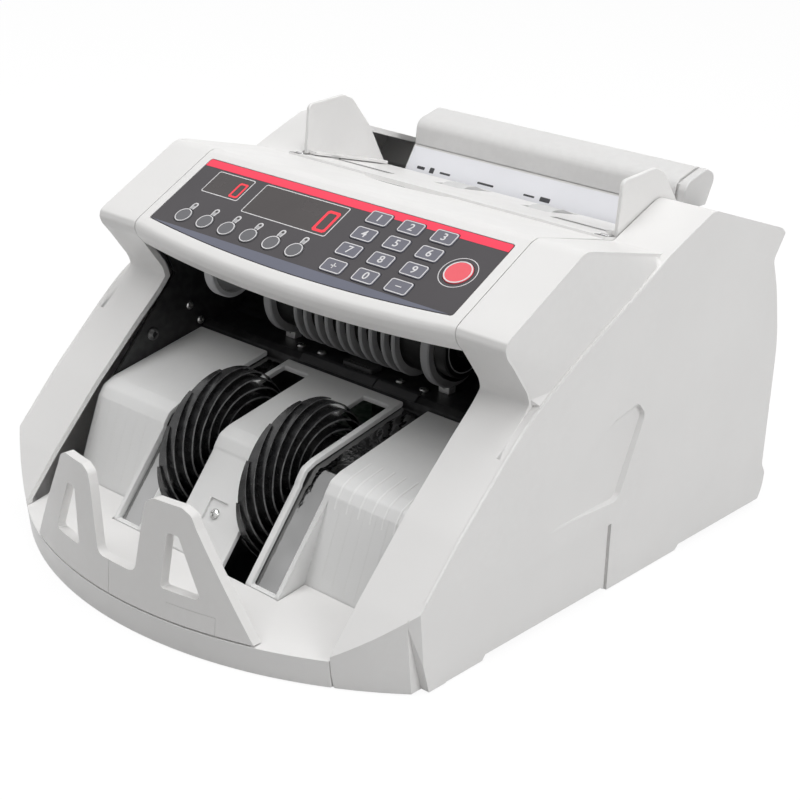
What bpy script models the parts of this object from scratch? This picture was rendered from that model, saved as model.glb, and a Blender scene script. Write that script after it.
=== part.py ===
"""Banknote counter: a desk-top machine that draws notes from a hopper, counts them and stacks them in a tray.

The object stands on the plane z = 0 and its front faces -Y. X = 0 is its plane of symmetry.
Every outline of the side view is a list of shares of DEPTH and HEIGHT, read from the tray's front edge
and from the ground. Every other size is in metres.
"""

import math

import bmesh
import bpy
from mathutils import Vector

# Overall sizes: the notes pass the throat between two cheeks
THROAT_WIDTH = 0.192
CHEEK_WIDTH = 0.029
WIDTH = THROAT_WIDTH + 2 * CHEEK_WIDTH
DEPTH = 0.3184
HEIGHT = 0.1671
HALF_WIDTH = WIDTH / 2
THROAT_HALF = THROAT_WIDTH / 2
CLEARANCE = 0.0003
OVERRUN = 0.002

# Shells
SHELL_WALL = 0.0028
SHOULDER_STEP = 0.004
SHOULDER_HALF = HALF_WIDTH - SHOULDER_STEP
SEAM = 0.0004
SIDE_RECESS_DEPTH = 0.0012
FRONT_WALL = 0.0036

CHEEK_SHARES = ((0.135, 0.209), (0.214, 0.380), (0.294, 0.533), (0.338, 0.612), (0.351, 0.643))
INNER_FOOT_SHARES = ((0.096, 0.004), (0.084, 0.088))
BEAK_SHARES = ((0.346, 0.670), (0.309, 0.757), (0.296, 0.783), (0.291, 0.805), (0.293, 0.823), (0.301, 0.834))
SHOULDER_SHARES = ((0.438, 0.982), (0.449, 0.987), (0.463, 0.983), (0.627, 0.918))
RIDGE_SHARES = ((0.416, 0.703), (0.477, 0.766), (0.547, 0.833), (0.627, 0.918))
RIM_SHARES = ((0.677, 0.959), (0.727, 0.998), (0.740, 1.000), (0.941, 0.886))
REAR_SHARES = (
    (0.952, 0.869), (0.927, 0.797), (0.949, 0.709), (0.977, 0.536), (0.982, 0.344),
    (0.987, 0.133), (1.000, 0.099), (0.997, 0.048), (0.988, 0.018),
)
SKID_SHARES = ((0.752, 0.018), (0.743, 0.004), (0.561, 0.004), (0.551, 0.018), (0.287, 0.018), (0.281, 0.004))
PANEL_FOOT_SHARES = ((0.173, 0.004),)
SIDE_RECESS_SHARES = ((0.595, 0.534), (0.617, 0.486), (0.567, 0.269), (0.363, 0.273))

# Bowed front of the tray
BOW_RADIUS = 0.180
TRAY_LIP_HEIGHT = 0.0135
TRAY_LEAN = 0.0022
TRAY_WALL = 0.0026
TRAY_STATIONS = 16
SKIRT_GAP = 0.00065
FLOOR_GAP = 0.0005
FLOOR_DROP = 0.00015
TRAY_RIB_WIDTH = 0.004
TRAY_RIB_INSET = 0.0012
TRAY_RIB_SHARE = 0.75
TRAY_RIB_SPACING = 0.130

# Base
FOOT_HEIGHT = 0.0026
FOOT_RADIUS = 0.008
FOOT_STEM_RADIUS = 0.003
FOOT_INSET = 0.022
PAN_THICKNESS = 0.0022
PAN_FRONT_INSET = 0.0048
PAN_SIDE_GAP = 0.0006
PAN_REAR_SHARE = 0.955
PAN_CORNER_SHARE = 0.205
PAN_TOP = FOOT_HEIGHT + PAN_THICKNESS

# Console
COVER_WALL = 0.0034
COVER_HALF = THROAT_HALF - SEAM
COVER_STATIONS = 12
CONSOLE_BOW = 0.0058
COVER_REAR_SHARE = (0.603, 0.931)
OVERLAY_MARGIN = 0.0054
OVERLAY_REAR_MARGIN = 0.0043
OVERLAY_THICKNESS = 0.0015
OVERLAY_SETBACK = 0.0016
OVERLAY_POINTS = 12

# Windows and keys: shares of the key panel's half width and of its length
BATCH_WINDOW_SHARES = ((-0.867, -0.612), (0.545, 0.855))
COUNT_WINDOW_SHARES = ((-0.5255, 0.042), (0.4365, 0.8595))
WINDOW_MARGIN = 0.0008
DISPLAY_DEPTH = 0.0085
BOARD_THICKNESS = 0.0016
DISPLAY_BOARD_MARGIN = 0.004

# Keys
KEY_WIDTH = 0.0122
KEY_LENGTH = 0.0080
KEY_CORNER = 0.0016
KEY_HEIGHT = 0.0017
KEY_PROUD = 0.0004
KEY_COLUMN_SHARES = (0.2384, 0.4401, 0.6419)
KEY_ROW_SHARES = (0.1176, 0.3592, 0.6008, 0.8424)
RESTART_SHARE = (0.8548, 0.4885)
RESTART_RADIUS = 0.0066
FUNCTION_FIRST_SHARE = (-0.8204, 0.156)
FUNCTION_PITCH_SHARE = 0.1563
FUNCTION_RADIUS = 0.0045
FUNCTION_KEYS = 6
ROUND_KEY_SIDES = 20
KEY_NAMES = (
    ("key_add", "key_0", "key_clear"),
    ("key_7", "key_8", "key_9"),
    ("key_4", "key_5", "key_6"),
    ("key_1", "key_2", "key_3"),
)

# Stops in front of the stacked notes
STOP_THICKNESS = 0.0045
STOP_STATIONS = 16
STOP_SHARES = (
    (0.272, 0.070), (0.172, 0.353), (0.162, 0.386), (0.144, 0.400), (0.088, 0.400),
    (0.072, 0.386), (0.066, 0.353), (0.046, 0.180),
)
STOP_HOLE_SHARES = ((0.102, 0.169), (0.115, 0.322), (0.138, 0.322), (0.182, 0.169))

# Frame
FRAME_GAP = 0.001
FRAME_THICKNESS = 0.0015
FRAME_INSET = 0.0010
FRAME_FACE = THROAT_HALF + FRAME_GAP
FRAME_FRONT_SHARES = ((0.232, 0.034), (0.232, 0.330))
FRAME_TOP_SHARES = ((0.374, 0.645), (0.350, 0.725), (0.460, 0.925), (0.590, 0.880))
FRAME_SEAT_SHARES = (0.650, 0.820)
FRAME_REAR_SHARES = ((0.930, 0.700), (0.940, 0.034))
CROSS_DEPTH_SHARES = (0.4305, 0.4305, 0.441, 0.470)
CROSS_DROPS = (0.009, 0.0024, 0.0004, 0)
CROSS_THICKNESS = 0.0015
CROSS_ROLLER_GAP = 0.0035
CROSS_ARC = (math.radians(-80), math.radians(60))
CROSS_ARC_STEPS = 10

# Deck over which the notes are stacked
DECK_HALF = THROAT_HALF - SEAM
DECK_WALL = 0.0025
DECK_REAR_GAP = 0.0011
CHANNEL_WIDTH = 0.014
CHANNEL_RIB = 0.0033
NOSE_EDGE = 0.0025
STRIP_THICKNESS = 0.001
STRIP_TUCK = 0.0012
SHAFT_NOTCH_GAP = 0.001

# Shafts, wheels and rollers
SHAFT_RADIUS = 0.003
SHAFT_SIDES = 16
SHAFT_CLEARANCE = 0.00015
WHEEL_RADIUS = 0.0395
WHEEL_FLOOR_GAP = 0.00115
WHEEL_HUB_RADIUS = 0.012
WHEEL_WIDTH = 0.013
WHEEL_CENTRE = 0.025
WHEEL_SIDE_GAP = 0.0012
VANES = 13
VANE_THICKNESS = 0.0011
VANE_FIRST = math.radians(93.5)
VANE_SWEEP = math.radians(179)
VANE_CURVE = 1.75
VANE_STEPS = 18
VANE_INSET = 0.0025
VANE_POINT_SWEEP = math.radians(38)
VANE_POINT_WIDTH = 0.0015
VANE_TIP_SHARE = 0.5

# The deck's profiles: shares of the wheels' radius, from their axis
DECK_REAR_SHARE = (1.177, 0.787)
DECK_BLOCK_SHARES = (DECK_REAR_SHARE, (-0.250, 0.478), (-0.395, 0.415), (-0.4755, 0.292), (-0.790, -0.647))
DECK_NOSE_SHARES = (DECK_REAR_SHARE, (-0.250, 0.478), (-0.363, 0.4188), (-1.189, -0.694))
CHANNEL_CENTRE = WHEEL_CENTRE + WHEEL_WIDTH / 2 + WHEEL_SIDE_GAP + CHANNEL_RIB + CHANNEL_WIDTH / 2
NOSE_HALF = CHANNEL_CENTRE + CHANNEL_WIDTH / 2 + NOSE_EDGE

# Rollers
COUNTING_AXIS_SHARE = (0.482, 0.625)
COUNTING_RADIUS = 0.021
COUNTING_CORE_RADIUS = 0.0172
RING_PAIRS = 5
RING_PAIR_PITCH = 0.0135
RING_PAIR_GAP = 0.0062
RING_WIDTH = 0.0022
TYRE_CENTRE = 0.0484
TYRE_WIDTH = 0.005
PULL_SHAFT_GAP = 0.0014
PULL_DIRECTION = math.radians(154.65)
PULL_RADIUS = 0.0152
PULL_WHEEL_CENTRE = 0.0705
PULL_WHEEL_WIDTH = 0.006
FEED_FOOT_SHARE = 0.782
FEED_PROUD = 0.0016
FEED_RADIUS = 0.026
FEED_CORE_RADIUS = 0.017
FEED_TYRE_CENTRE = 0.027
FEED_TYRE_WIDTH = 0.014
FEED_SLOT_GAP = 0.001
ROLLER_SIDES = 24

# Drive
MOTOR_AXIS_SHARE = (0.843, 0.371)
MOTOR_RADIUS = 0.019
MOTOR_LENGTH = 0.050
MOTOR_BORE_DEPTH = 0.008
MOTOR_SHAFT_RADIUS = 0.002
MOTOR_PULLEY_RADIUS = 0.008
FLYWHEEL_RADIUS = 0.022
FLYWHEEL_HUB_RADIUS = 0.004
FLYWHEEL_GAP = 0.0014
FEED_PULLEY_RADIUS = 0.017
COUNTING_PULLEY_RADIUS = 0.012
STACK_DRIVE_RADIUS = 0.009
STACKER_PULLEY_RADIUS = 0.012
PULLEY_WIDTH = 0.007
PULLEY_GAP = 0.005
BELT_WIDTH = 0.006
BELT_THICKNESS = 0.0014
COLLAR_WIDTH = 0.003
COLLAR_RADIUS = 0.0042

# Hopper
HOPPER_SHARES = ((0.607, 0.936), (0.834, 0.838))
HOPPER_THICKNESS = 0.0022
LUG_SHARES = (0.2, 0.9)
HOPPER_HALF = THROAT_HALF - SEAM
GUIDE_SHARES = ((0.639, 0.932), (0.642, 1.072), (0.721, 1.085), (0.744, 1.067), (0.789, 0.972), (0.832, 0.850))
GUIDE_THICKNESS = 0.002
GUIDE_FOOT_WIDTH = 0.007
GUIDE_FOOT_THICKNESS = 0.0016
GUIDE_FOOT_LIFT = 0.0002
GUIDE_FOOT_SHARES = (0.645, 0.820)
GUIDE_TRAVEL = 0.038
GUIDE_TAB_LENGTH = 0.006
GUIDE_TAB_SHARE = 0.690
GUIDE_TAB_DROP = 0.006
GUIDE_TAB_INSET = 0.0005
GUIDE_CATCH_LENGTH = 0.010
GUIDE_CATCH_THICKNESS = 0.0015
REST_SHARES = ((0.869, 0.901), (0.871, 0.982), (0.927, 1.011), (0.956, 0.986), (0.935, 0.901))
REST_WALL = 0.0022
REST_SIDE_GAP = 0.0123
REST_HALF = THROAT_HALF - REST_SIDE_GAP
BACK_PLATE_SHARES = ((0.846, 0.826), (0.869, 0.901))

# Rear
REAR_TOP_SHARE = (0.918, 0.899)
REAR_WALL = 0.0025
INLET_CENTRE_Z = 0.040
INLET_HEIGHT = 0.0240
INLET_DEPTH = 0.0180
INLET_FLANGE = 0.0020
INLET_WALL = 0.0022
INLET_LEFT_X = 0.012
SOCKET_WIDTH = 0.0226
SOCKET_HEIGHT = 0.0158
SWITCH_WIDTH = 0.0130
SWITCH_HEIGHT = 0.0190
SWITCH_DEPTH = 0.0070
SWITCH_WELL = 0.0115
SWITCH_SWING = math.radians(7)
SWITCH_CENTRE_X = INLET_LEFT_X + INLET_WALL + SWITCH_WIDTH / 2
SOCKET_CENTRE_X = SWITCH_CENTRE_X + SWITCH_WIDTH / 2 + INLET_WALL + SOCKET_WIDTH / 2
INLET_WIDTH = 3 * INLET_WALL + SWITCH_WIDTH + SOCKET_WIDTH
INLET_CENTRE_X = INLET_LEFT_X + INLET_WIDTH / 2
VENT_COUNT = 8
VENT_WIDTH = 0.040
VENT_HEIGHT = 0.0026
VENT_PITCH = 0.0062
VENT_CENTRE_X = -0.050
VENT_FIRST_Z = 0.032

# Electrics
TRANSFORMER_SHARE = 0.815
TRANSFORMER_SIDE_GAP = 0.006
TRANSFORMER_CORE = (0.046, 0.020, 0.040)
TRANSFORMER_COIL = (0.028, 0.038, 0.028)
TRANSFORMER_FOOT = (0.058, 0.024, 0.003)
TRANSFORMER_X = FRAME_FACE - TRANSFORMER_SIDE_GAP - TRANSFORMER_FOOT[0] / 2
CONTROL_SHARES = (0.520, 0.800)
CONTROL_SIDE_GAP = 0.012
CONTROL_RIGHT_GAP = 0.013
CONTROL_LEFT = CONTROL_SIDE_GAP - FRAME_FACE
CONTROL_RIGHT = TRANSFORMER_X - TRANSFORMER_FOOT[0] / 2 - CONTROL_RIGHT_GAP
CONTROL_HEIGHT = 0.011
CONTROL_POST_RADIUS = 0.003
CONTROL_POST_INSET = 0.006
CONTROL_PART_SHARES = ((0.30, 0.35, 0.14, 0.10), (0.70, 0.30, 0.10, 0.28), (0.55, 0.75, 0.16, 0.12))


def along_depth(share):
    """Y of a share of DEPTH, read from the tray's front edge."""
    return share * DEPTH - DEPTH / 2


def place(share):
    """Point of the side view (y, z) in metres from its shares of DEPTH and HEIGHT."""
    return (along_depth(share[0]), share[1] * HEIGHT)


def outline(shares):
    """Side-view points of a table of shares."""
    return [place(share) for share in shares]


def offset_line(points, distance):
    """The open line moved by distance to the right of its direction of travel."""
    normals = []
    for start, end in zip(points, points[1:]):
        along = Vector((end[0] - start[0], end[1] - start[1])).normalized()
        normals.append(Vector((along.y, -along.x)))
    moved = []
    for index, point in enumerate(points):
        before = normals[max(index - 1, 0)]
        after = normals[min(index, len(normals) - 1)]
        shift = (before + after) / (1 + before.dot(after))
        moved.append((point[0] + distance * shift.x, point[1] + distance * shift.y))
    return moved


def on_line(line, y):
    """Height of a two-point line at y."""
    (y0, z0), (y1, z1) = line
    return z0 + (z1 - z0) * (y - y0) / (y1 - y0)


def counting_axis():
    """The counting shaft's axis in the side view."""
    return place(COUNTING_AXIS_SHARE)


def pull_axis():
    """The pull shaft's axis, just clear of the counting roller."""
    y, z = counting_axis()
    reach = COUNTING_RADIUS + SHAFT_RADIUS + PULL_SHAFT_GAP
    return (y + reach * math.cos(PULL_DIRECTION), z + reach * math.sin(PULL_DIRECTION))


def stacker_axis():
    """The stacker shaft's axis: over the base pan, ahead of the cross plate."""
    rear = along_depth(CROSS_DEPTH_SHARES[0]) - DECK_REAR_GAP
    return (rear - DECK_REAR_SHARE[0] * WHEEL_RADIUS, PAN_TOP + WHEEL_FLOOR_GAP + WHEEL_RADIUS)


def feed_axis():
    """The feed shaft's axis, so far under the hopper plate that the tyres stand a little proud of it."""
    line = hopper_line()
    along = (Vector(line[1]) - Vector(line[0])).normalized()
    foot_y = along_depth(FEED_FOOT_SHARE)
    reach = FEED_RADIUS - FEED_PROUD
    return (foot_y + reach * along.y, on_line(line, foot_y) - reach * along.x)


def motor_axis():
    """The motor's axis."""
    return place(MOTOR_AXIS_SHARE)


def deck_line(shares):
    """One of the deck's two profiles, from its rear edge to its foot."""
    y, z = stacker_axis()
    return [(y + share[0] * WHEEL_RADIUS, z + share[1] * WHEEL_RADIUS) for share in shares]


def tray_floor():
    """The tray floor's profile: its lip, its end at the deck's nose and its end at the deck's blocks."""
    ends = [deck_line(shares)[-1] for shares in (DECK_NOSE_SHARES, DECK_BLOCK_SHARES)]
    return [(-DEPTH / 2, TRAY_LIP_HEIGHT)] + [(y - FLOOR_GAP, z - FLOOR_DROP) for y, z in ends]


def make_material(name, colour, roughness, metallic=0.0):
    """A Principled material with one colour."""
    made = bpy.data.materials.new(name)
    made.use_nodes = True
    shader = made.node_tree.nodes["Principled BSDF"]
    shader.inputs["Base Color"].default_value = (*colour, 1)
    shader.inputs["Roughness"].default_value = roughness
    shader.inputs["Metallic"].default_value = metallic
    made.diffuse_color = (*colour, 1)
    return made


def loft(sections):
    """A closed solid through equal-length closed sections of (x, y, z) points."""
    built = bmesh.new()
    rings = [[built.verts.new(point) for point in section] for section in sections]
    built.faces.new(rings[0])
    built.faces.new(rings[-1])
    count = len(rings[0])
    for first, second in zip(rings, rings[1:]):
        for index in range(count):
            after = (index + 1) % count
            built.faces.new((first[index], first[after], second[after], second[index]))
    bmesh.ops.recalc_face_normals(built, faces=built.faces)
    return built


def prism_x(points, x0, x1):
    """A side-view outline carried from x0 to x1."""
    return loft([[(x, y, z) for y, z in points] for x in (x0, x1)])


def prism_y(points, y0, y1):
    """A front-view outline carried from y0 to y1."""
    return loft([[(x, y, z) for x, z in points] for y in (y0, y1)])


def prism_z(points, z0, z1):
    """A plan outline carried from z0 to z1."""
    return loft([[(x, y, z) for x, y in points] for z in (z0, z1)])


def box(x, y, z):
    """A box from three pairs of limits."""
    return prism_x([(y[0], z[0]), (y[1], z[0]), (y[1], z[1]), (y[0], z[1])], x[0], x[1])


def spread(middle, size):
    """The two limits of a size about its middle."""
    return (middle - size / 2, middle + size / 2)


def circle(radius, sides, centre=(0, 0)):
    """Points of a circle."""
    turn = math.tau / sides
    return [
        (centre[0] + radius * math.cos(turn * step), centre[1] + radius * math.sin(turn * step))
        for step in range(sides)
    ]


def turned(stations, sides):
    """A solid turned about the X axis through (x, radius) stations."""
    return loft([[(x, y, z) for y, z in circle(radius, sides)] for x, radius in stations])


def as_object(name, built, location=(0, 0, 0), parent=None):
    """The bmesh as an object of the scene."""
    mesh = bpy.data.meshes.new(name)
    built.to_mesh(mesh)
    built.free()
    made = bpy.data.objects.new(name, mesh)
    made.location = location
    made.parent = parent
    bpy.context.scene.collection.objects.link(made)
    return made


def combine(target, built, operation):
    """Adds a shape to the target or takes it away, in the target's own axes."""
    tool = as_object("tool", built, target.location, target.parent)
    tool.hide_render = True
    tool.display_type = "WIRE"
    modifier = target.modifiers.new(operation, "BOOLEAN")
    modifier.operation = operation
    modifier.object = tool
    graph = bpy.context.evaluated_depsgraph_get()
    result = bpy.data.meshes.new_from_object(target.evaluated_get(graph))
    target.modifiers.clear()
    before = target.data
    target.data = result
    bpy.data.meshes.remove(before)
    bpy.data.objects.remove(tool)


def cut(target, *shapes):
    """Takes shapes away."""
    for shape in shapes:
        combine(target, shape, "DIFFERENCE")


def join(target, *shapes):
    """Adds shapes."""
    for shape in shapes:
        combine(target, shape, "UNION")


def finish(made, coat, smooth_angle=math.radians(35)):
    """Gives the piece its material and smooth shading."""
    made.data.materials.clear()
    made.data.materials.append(coat)
    made.data.shade_smooth()
    made.data.set_sharp_from_angle(angle=smooth_angle)
    return made


def bow_y(x, z):
    """Front surface of the bowed tray skirt at x and z."""
    lean = TRAY_LEAN * (1 - z / TRAY_LIP_HEIGHT)
    return -DEPTH / 2 + lean + BOW_RADIUS - math.sqrt(BOW_RADIUS**2 - x**2)


def stations(low, high, count):
    """Evenly spaced values from low to high."""
    return [low + (high - low) * step / count for step in range(count + 1)]


def bow_cutter(x0, x1, inset=0):
    """Everything in front of the bowed front surface, or of a surface inset behind it."""
    top = 2 * place(CHEEK_SHARES[0])[1]
    low_z = -2 * OVERRUN
    sections = []
    for x in stations(x0, x1, TRAY_STATIONS // 2):
        low = bow_y(x, low_z) + inset
        high = bow_y(x, top) + inset
        sections.append([(x, -DEPTH, low_z), (x, low, low_z), (x, high, top), (x, -DEPTH, top)])
    return loft(sections)


def trimmed(built, cutter):
    """A shape less a cutter, as a new shape."""
    rough = as_object("rough", built)
    cut(rough, cutter)
    made = bmesh.new()
    made.from_mesh(rough.data)
    bpy.data.objects.remove(rough)
    return made


def body_line():
    """The inner half's outline, from the front foot over the top to the rear foot."""
    return outline(INNER_FOOT_SHARES + CHEEK_SHARES + BEAK_SHARES + SHOULDER_SHARES + RIM_SHARES + REAR_SHARES)


def panel_line():
    """The raised side panel's outline, from its front foot over the top to the rear foot."""
    return outline(PANEL_FOOT_SHARES + CHEEK_SHARES[:-1] + RIDGE_SHARES + RIM_SHARES + REAR_SHARES)


def cavity(line):
    """The space inside a shell's outline, open at the bottom."""
    inner = offset_line(line, SHELL_WALL)
    return [(inner[0][0], -OVERRUN)] + inner + [(inner[-1][0], -OVERRUN)]


def side_shell(name, side, coat):
    """A side housing: shoulder and cheek of the console, raised panel, and rim of the hopper."""
    skids = outline(SKID_SHARES)
    made = as_object(name, prism_x(body_line() + skids, side * THROAT_HALF, side * SHOULDER_HALF))
    panel_inside = SHOULDER_HALF - SHELL_WALL
    join(made, prism_x(panel_line() + skids, side * panel_inside, side * HALF_WIDTH))
    start = side * (THROAT_HALF - OVERRUN)
    end = side * (HALF_WIDTH + OVERRUN)
    behind = [bow_cutter(start, end, FRONT_WALL) for _ in range(2)]
    cut(
        made,
        trimmed(prism_x(cavity(body_line()), start, side * panel_inside), behind[0]),
        trimmed(prism_x(cavity(panel_line()), start, side * (HALF_WIDTH - SHELL_WALL)), behind[1]),
        bow_cutter(start, end),
        prism_x(
            outline(SIDE_RECESS_SHARES),
            side * (HALF_WIDTH - SIDE_RECESS_DEPTH),
            side * (HALF_WIDTH + OVERRUN),
        ),
    )
    return finish(made, coat)


def base_pan(coat):
    """The flat bottom that carries the frame, the feet and the electrics."""
    corner_y = along_depth(PAN_CORNER_SHARE)
    rear_y = along_depth(PAN_REAR_SHARE)
    front_half = THROAT_HALF - SEAM
    rear_half = HALF_WIDTH - SHELL_WALL - PAN_SIDE_GAP
    front = [(x, bow_y(x, 0) + PAN_FRONT_INSET) for x in stations(-front_half, front_half, TRAY_STATIONS)]
    points = front + [(front_half, corner_y), (rear_half, corner_y), (rear_half, rear_y)]
    points += [(-rear_half, rear_y), (-rear_half, corner_y), (-front_half, corner_y)]
    made = as_object("base_pan", prism_z(points, FOOT_HEIGHT, PAN_TOP))
    for x, y in foot_places():
        cut(made, prism_z(circle(FOOT_STEM_RADIUS + CLEARANCE, SHAFT_SIDES, (x, y)), 0, PAN_TOP + OVERRUN))
    return finish(made, coat)


def foot_places():
    """Plan places of the four feet: front left, front right, rear left, rear right."""
    x = THROAT_HALF - FOOT_INSET
    front_y = bow_y(x, 0) + PAN_FRONT_INSET + FOOT_INSET
    rear_y = along_depth(PAN_REAR_SHARE) - FOOT_INSET
    return [(-x, front_y), (x, front_y), (-x, rear_y), (x, rear_y)]


def rubber_feet(coat):
    """Four round feet, each with a stem pressed up through the pan."""
    names = ("front_left_foot", "front_right_foot", "rear_left_foot", "rear_right_foot")
    for name, (x, y) in zip(names, foot_places()):
        foot = as_object(name, prism_z(circle(FOOT_RADIUS, SHAFT_SIDES), 0, FOOT_HEIGHT - CLEARANCE), (x, y, 0))
        join(foot, prism_z(circle(FOOT_STEM_RADIUS, SHAFT_SIDES), 0, PAN_TOP + OVERRUN / 2))
        finish(foot, coat)


def front_tray(coat):
    """The bowed skirt and the floor on which the notes stand."""
    lip, nose_end, block_end = tray_floor()
    slope = (nose_end[1] - lip[1]) / (nose_end[0] - lip[0])
    half = THROAT_HALF - SEAM
    rear_z = block_end[1]
    sections = []
    for x in stations(-half, half, TRAY_STATIONS):
        low = bow_y(x, SKIRT_GAP)
        high = bow_y(x, TRAY_LIP_HEIGHT)
        sections.append([
            (x, low, SKIRT_GAP),
            (x, high, TRAY_LIP_HEIGHT),
            (x, high + TRAY_WALL, TRAY_LIP_HEIGHT + slope * TRAY_WALL),
            (x, block_end[0], rear_z),
            (x, block_end[0], rear_z - TRAY_WALL),
            (x, high + TRAY_WALL, TRAY_LIP_HEIGHT + slope * TRAY_WALL - TRAY_WALL),
            (x, low + TRAY_WALL, SKIRT_GAP),
        ])
    bowed = loft(sections)
    bmesh.ops.triangulate(bowed, faces=bowed.faces)
    made = as_object("front_tray", bowed)
    nose = NOSE_HALF + SEAM
    cut(made, box((-nose, nose), (nose_end[0], 0), (0, HEIGHT)))
    rib_rear = block_end[0] - TRAY_RIB_INSET
    rib_z = (PAN_TOP + CLEARANCE, block_end[1] - TRAY_RIB_SHARE * TRAY_WALL)
    for side in (-1, 1):
        x = side * TRAY_RIB_SPACING / 2
        join(made, box(spread(x, 2 * TRAY_RIB_WIDTH), (rib_rear - TRAY_RIB_WIDTH, rib_rear), rib_z))
    return finish(made, coat)


def note_stop(coat):
    """Two A-shaped fingers and their bridge, following the bow of the tray's lip."""
    lip, nose_end, _ = tray_floor()
    slope = (nose_end[1] - lip[1]) / (nose_end[0] - lip[0])
    base = TRAY_LIP_HEIGHT + slope * STOP_THICKNESS + CLEARANCE
    half = STOP_SHARES[0][0] * WIDTH
    top = 2 * STOP_SHARES[3][1] * HEIGHT
    sections = []
    for x in stations(-half - OVERRUN, half + OVERRUN, STOP_STATIONS):
        front = bow_y(x, TRAY_LIP_HEIGHT)
        back = front + STOP_THICKNESS
        sections.append([(x, front, 0), (x, front, top), (x, back, top), (x, back, 0)])
    made = as_object("note_stop", loft(sections))
    right = [(x * WIDTH, z * HEIGHT) for x, z in STOP_SHARES]
    right[0] = (right[0][0], base)
    left = [(-x, z) for x, z in right]
    combine(made, prism_y(right + left[::-1], -DEPTH, 0), "INTERSECT")
    for side in (-1, 1):
        hole = [(side * x * WIDTH, z * HEIGHT) for x, z in STOP_HOLE_SHARES]
        cut(made, prism_y(hole, -DEPTH, 0))
    return finish(made, coat)


def deck_shape(shares, half):
    """The solid under one of the deck's two profiles, down to the base pan."""
    line = deck_line(shares)
    floor = PAN_TOP + CLEARANCE
    points = [(line[0][0], floor)] + line + [(line[-1][0], floor)]
    return prism_x(points, -half, half)


def deck_cavity(shares, half):
    """The space under the same profile, open at the bottom and at the rear."""
    line = offset_line(deck_line(shares), -DECK_WALL)
    rear = line[0][0] + OVERRUN
    top = line[0][1] + (line[0][1] - line[1][1]) / (line[0][0] - line[1][0]) * OVERRUN
    inner = [(rear, 0), (rear, top)] + line[1:] + [(line[-1][0], 0)]
    return prism_x(inner, -half, half)


def stacker_deck(coat):
    """The white deck: outer blocks, longer nose, slots for the wheels and channels for the strips."""
    made = as_object("stacker_deck", deck_shape(DECK_BLOCK_SHARES, DECK_HALF))
    join(made, deck_shape(DECK_NOSE_SHARES, NOSE_HALF))
    cut(
        made,
        deck_cavity(DECK_BLOCK_SHARES, DECK_HALF - DECK_WALL),
        deck_cavity(DECK_NOSE_SHARES, NOSE_HALF - DECK_WALL),
    )
    axis_y, axis_z = stacker_axis()
    reach = COLLAR_RADIUS + SHAFT_NOTCH_GAP
    span = DECK_HALF + OVERRUN
    cut(made, box((-span, span), (axis_y - reach, axis_y + reach), (0, axis_z + reach)))
    slot_half = WHEEL_WIDTH / 2 + WHEEL_SIDE_GAP
    nose = deck_line(DECK_NOSE_SHARES)
    slot_rear = axis_y + WHEEL_RADIUS + WHEEL_SIDE_GAP
    for side in (-1, 1):
        x = side * WHEEL_CENTRE
        cut(made, box((x - slot_half, x + slot_half), (-DEPTH, slot_rear), (0, HEIGHT)))
        x = side * CHANNEL_CENTRE
        low = nose[-1][1]
        cut(made, box(spread(x, CHANNEL_WIDTH), (-DEPTH, nose[0][0] + OVERRUN), (low, HEIGHT)))
    return finish(made, coat)


def guide_strips(coat):
    """Polished strips tucked under the deck's skin, showing through its two channels."""
    line = deck_line(DECK_NOSE_SHARES)
    upper = offset_line(line, -(DECK_WALL + CLEARANCE))
    lower = offset_line(line, -(DECK_WALL + CLEARANCE + STRIP_THICKNESS))
    upper[0] = (line[0][0], upper[0][1])
    lower[0] = (line[0][0], lower[0][1])
    foot = line[-1][1] - DECK_WALL / 2
    share = (upper[-2][1] - foot) / (upper[-2][1] - upper[-1][1])
    foot_shift = (share - 1) * (upper[-1][0] - upper[-2][0])
    upper[-1] = (upper[-1][0] + foot_shift, foot)
    lower[-1] = (lower[-1][0] + foot_shift, foot)
    half = CHANNEL_WIDTH / 2 + STRIP_TUCK
    outer_limit = NOSE_HALF - DECK_WALL - CLEARANCE
    for name, side in (("left_guide_strip", -1), ("right_guide_strip", 1)):
        inner_x = side * (CHANNEL_CENTRE - half)
        outer_x = side * min(CHANNEL_CENTRE + half, outer_limit)
        finish(as_object(name, prism_x(upper + lower[::-1], inner_x, outer_x)), coat)


def frame_plate(name, side, coat):
    """A steel side plate with a bore for each shaft."""
    points = outline(FRAME_FRONT_SHARES + FRAME_TOP_SHARES)
    seat = offset_line(hopper_line(), LUG_SHARES[1] * HOPPER_THICKNESS + CLEARANCE)
    for y in seat_limits():
        points.append((y, on_line(seat, y)))
    points += outline(FRAME_REAR_SHARES)
    low = PAN_TOP + CLEARANCE
    points[0] = (points[0][0], low)
    points[-1] = (points[-1][0], low)
    made = as_object(name, prism_x(points, side * FRAME_FACE, side * (FRAME_FACE + FRAME_THICKNESS)))
    bores = [(axis, SHAFT_RADIUS) for axis in (stacker_axis(), counting_axis(), pull_axis(), feed_axis())]
    if side < 0:
        bores.append((motor_axis(), MOTOR_SHAFT_RADIUS))
    for axis, radius in bores:
        hole = circle(radius + SHAFT_CLEARANCE, SHAFT_SIDES, axis)
        cut(made, prism_x(hole, side * (FRAME_FACE - OVERRUN), side * (FRAME_FACE + FRAME_THICKNESS + OVERRUN)))
    return finish(made, coat)


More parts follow.
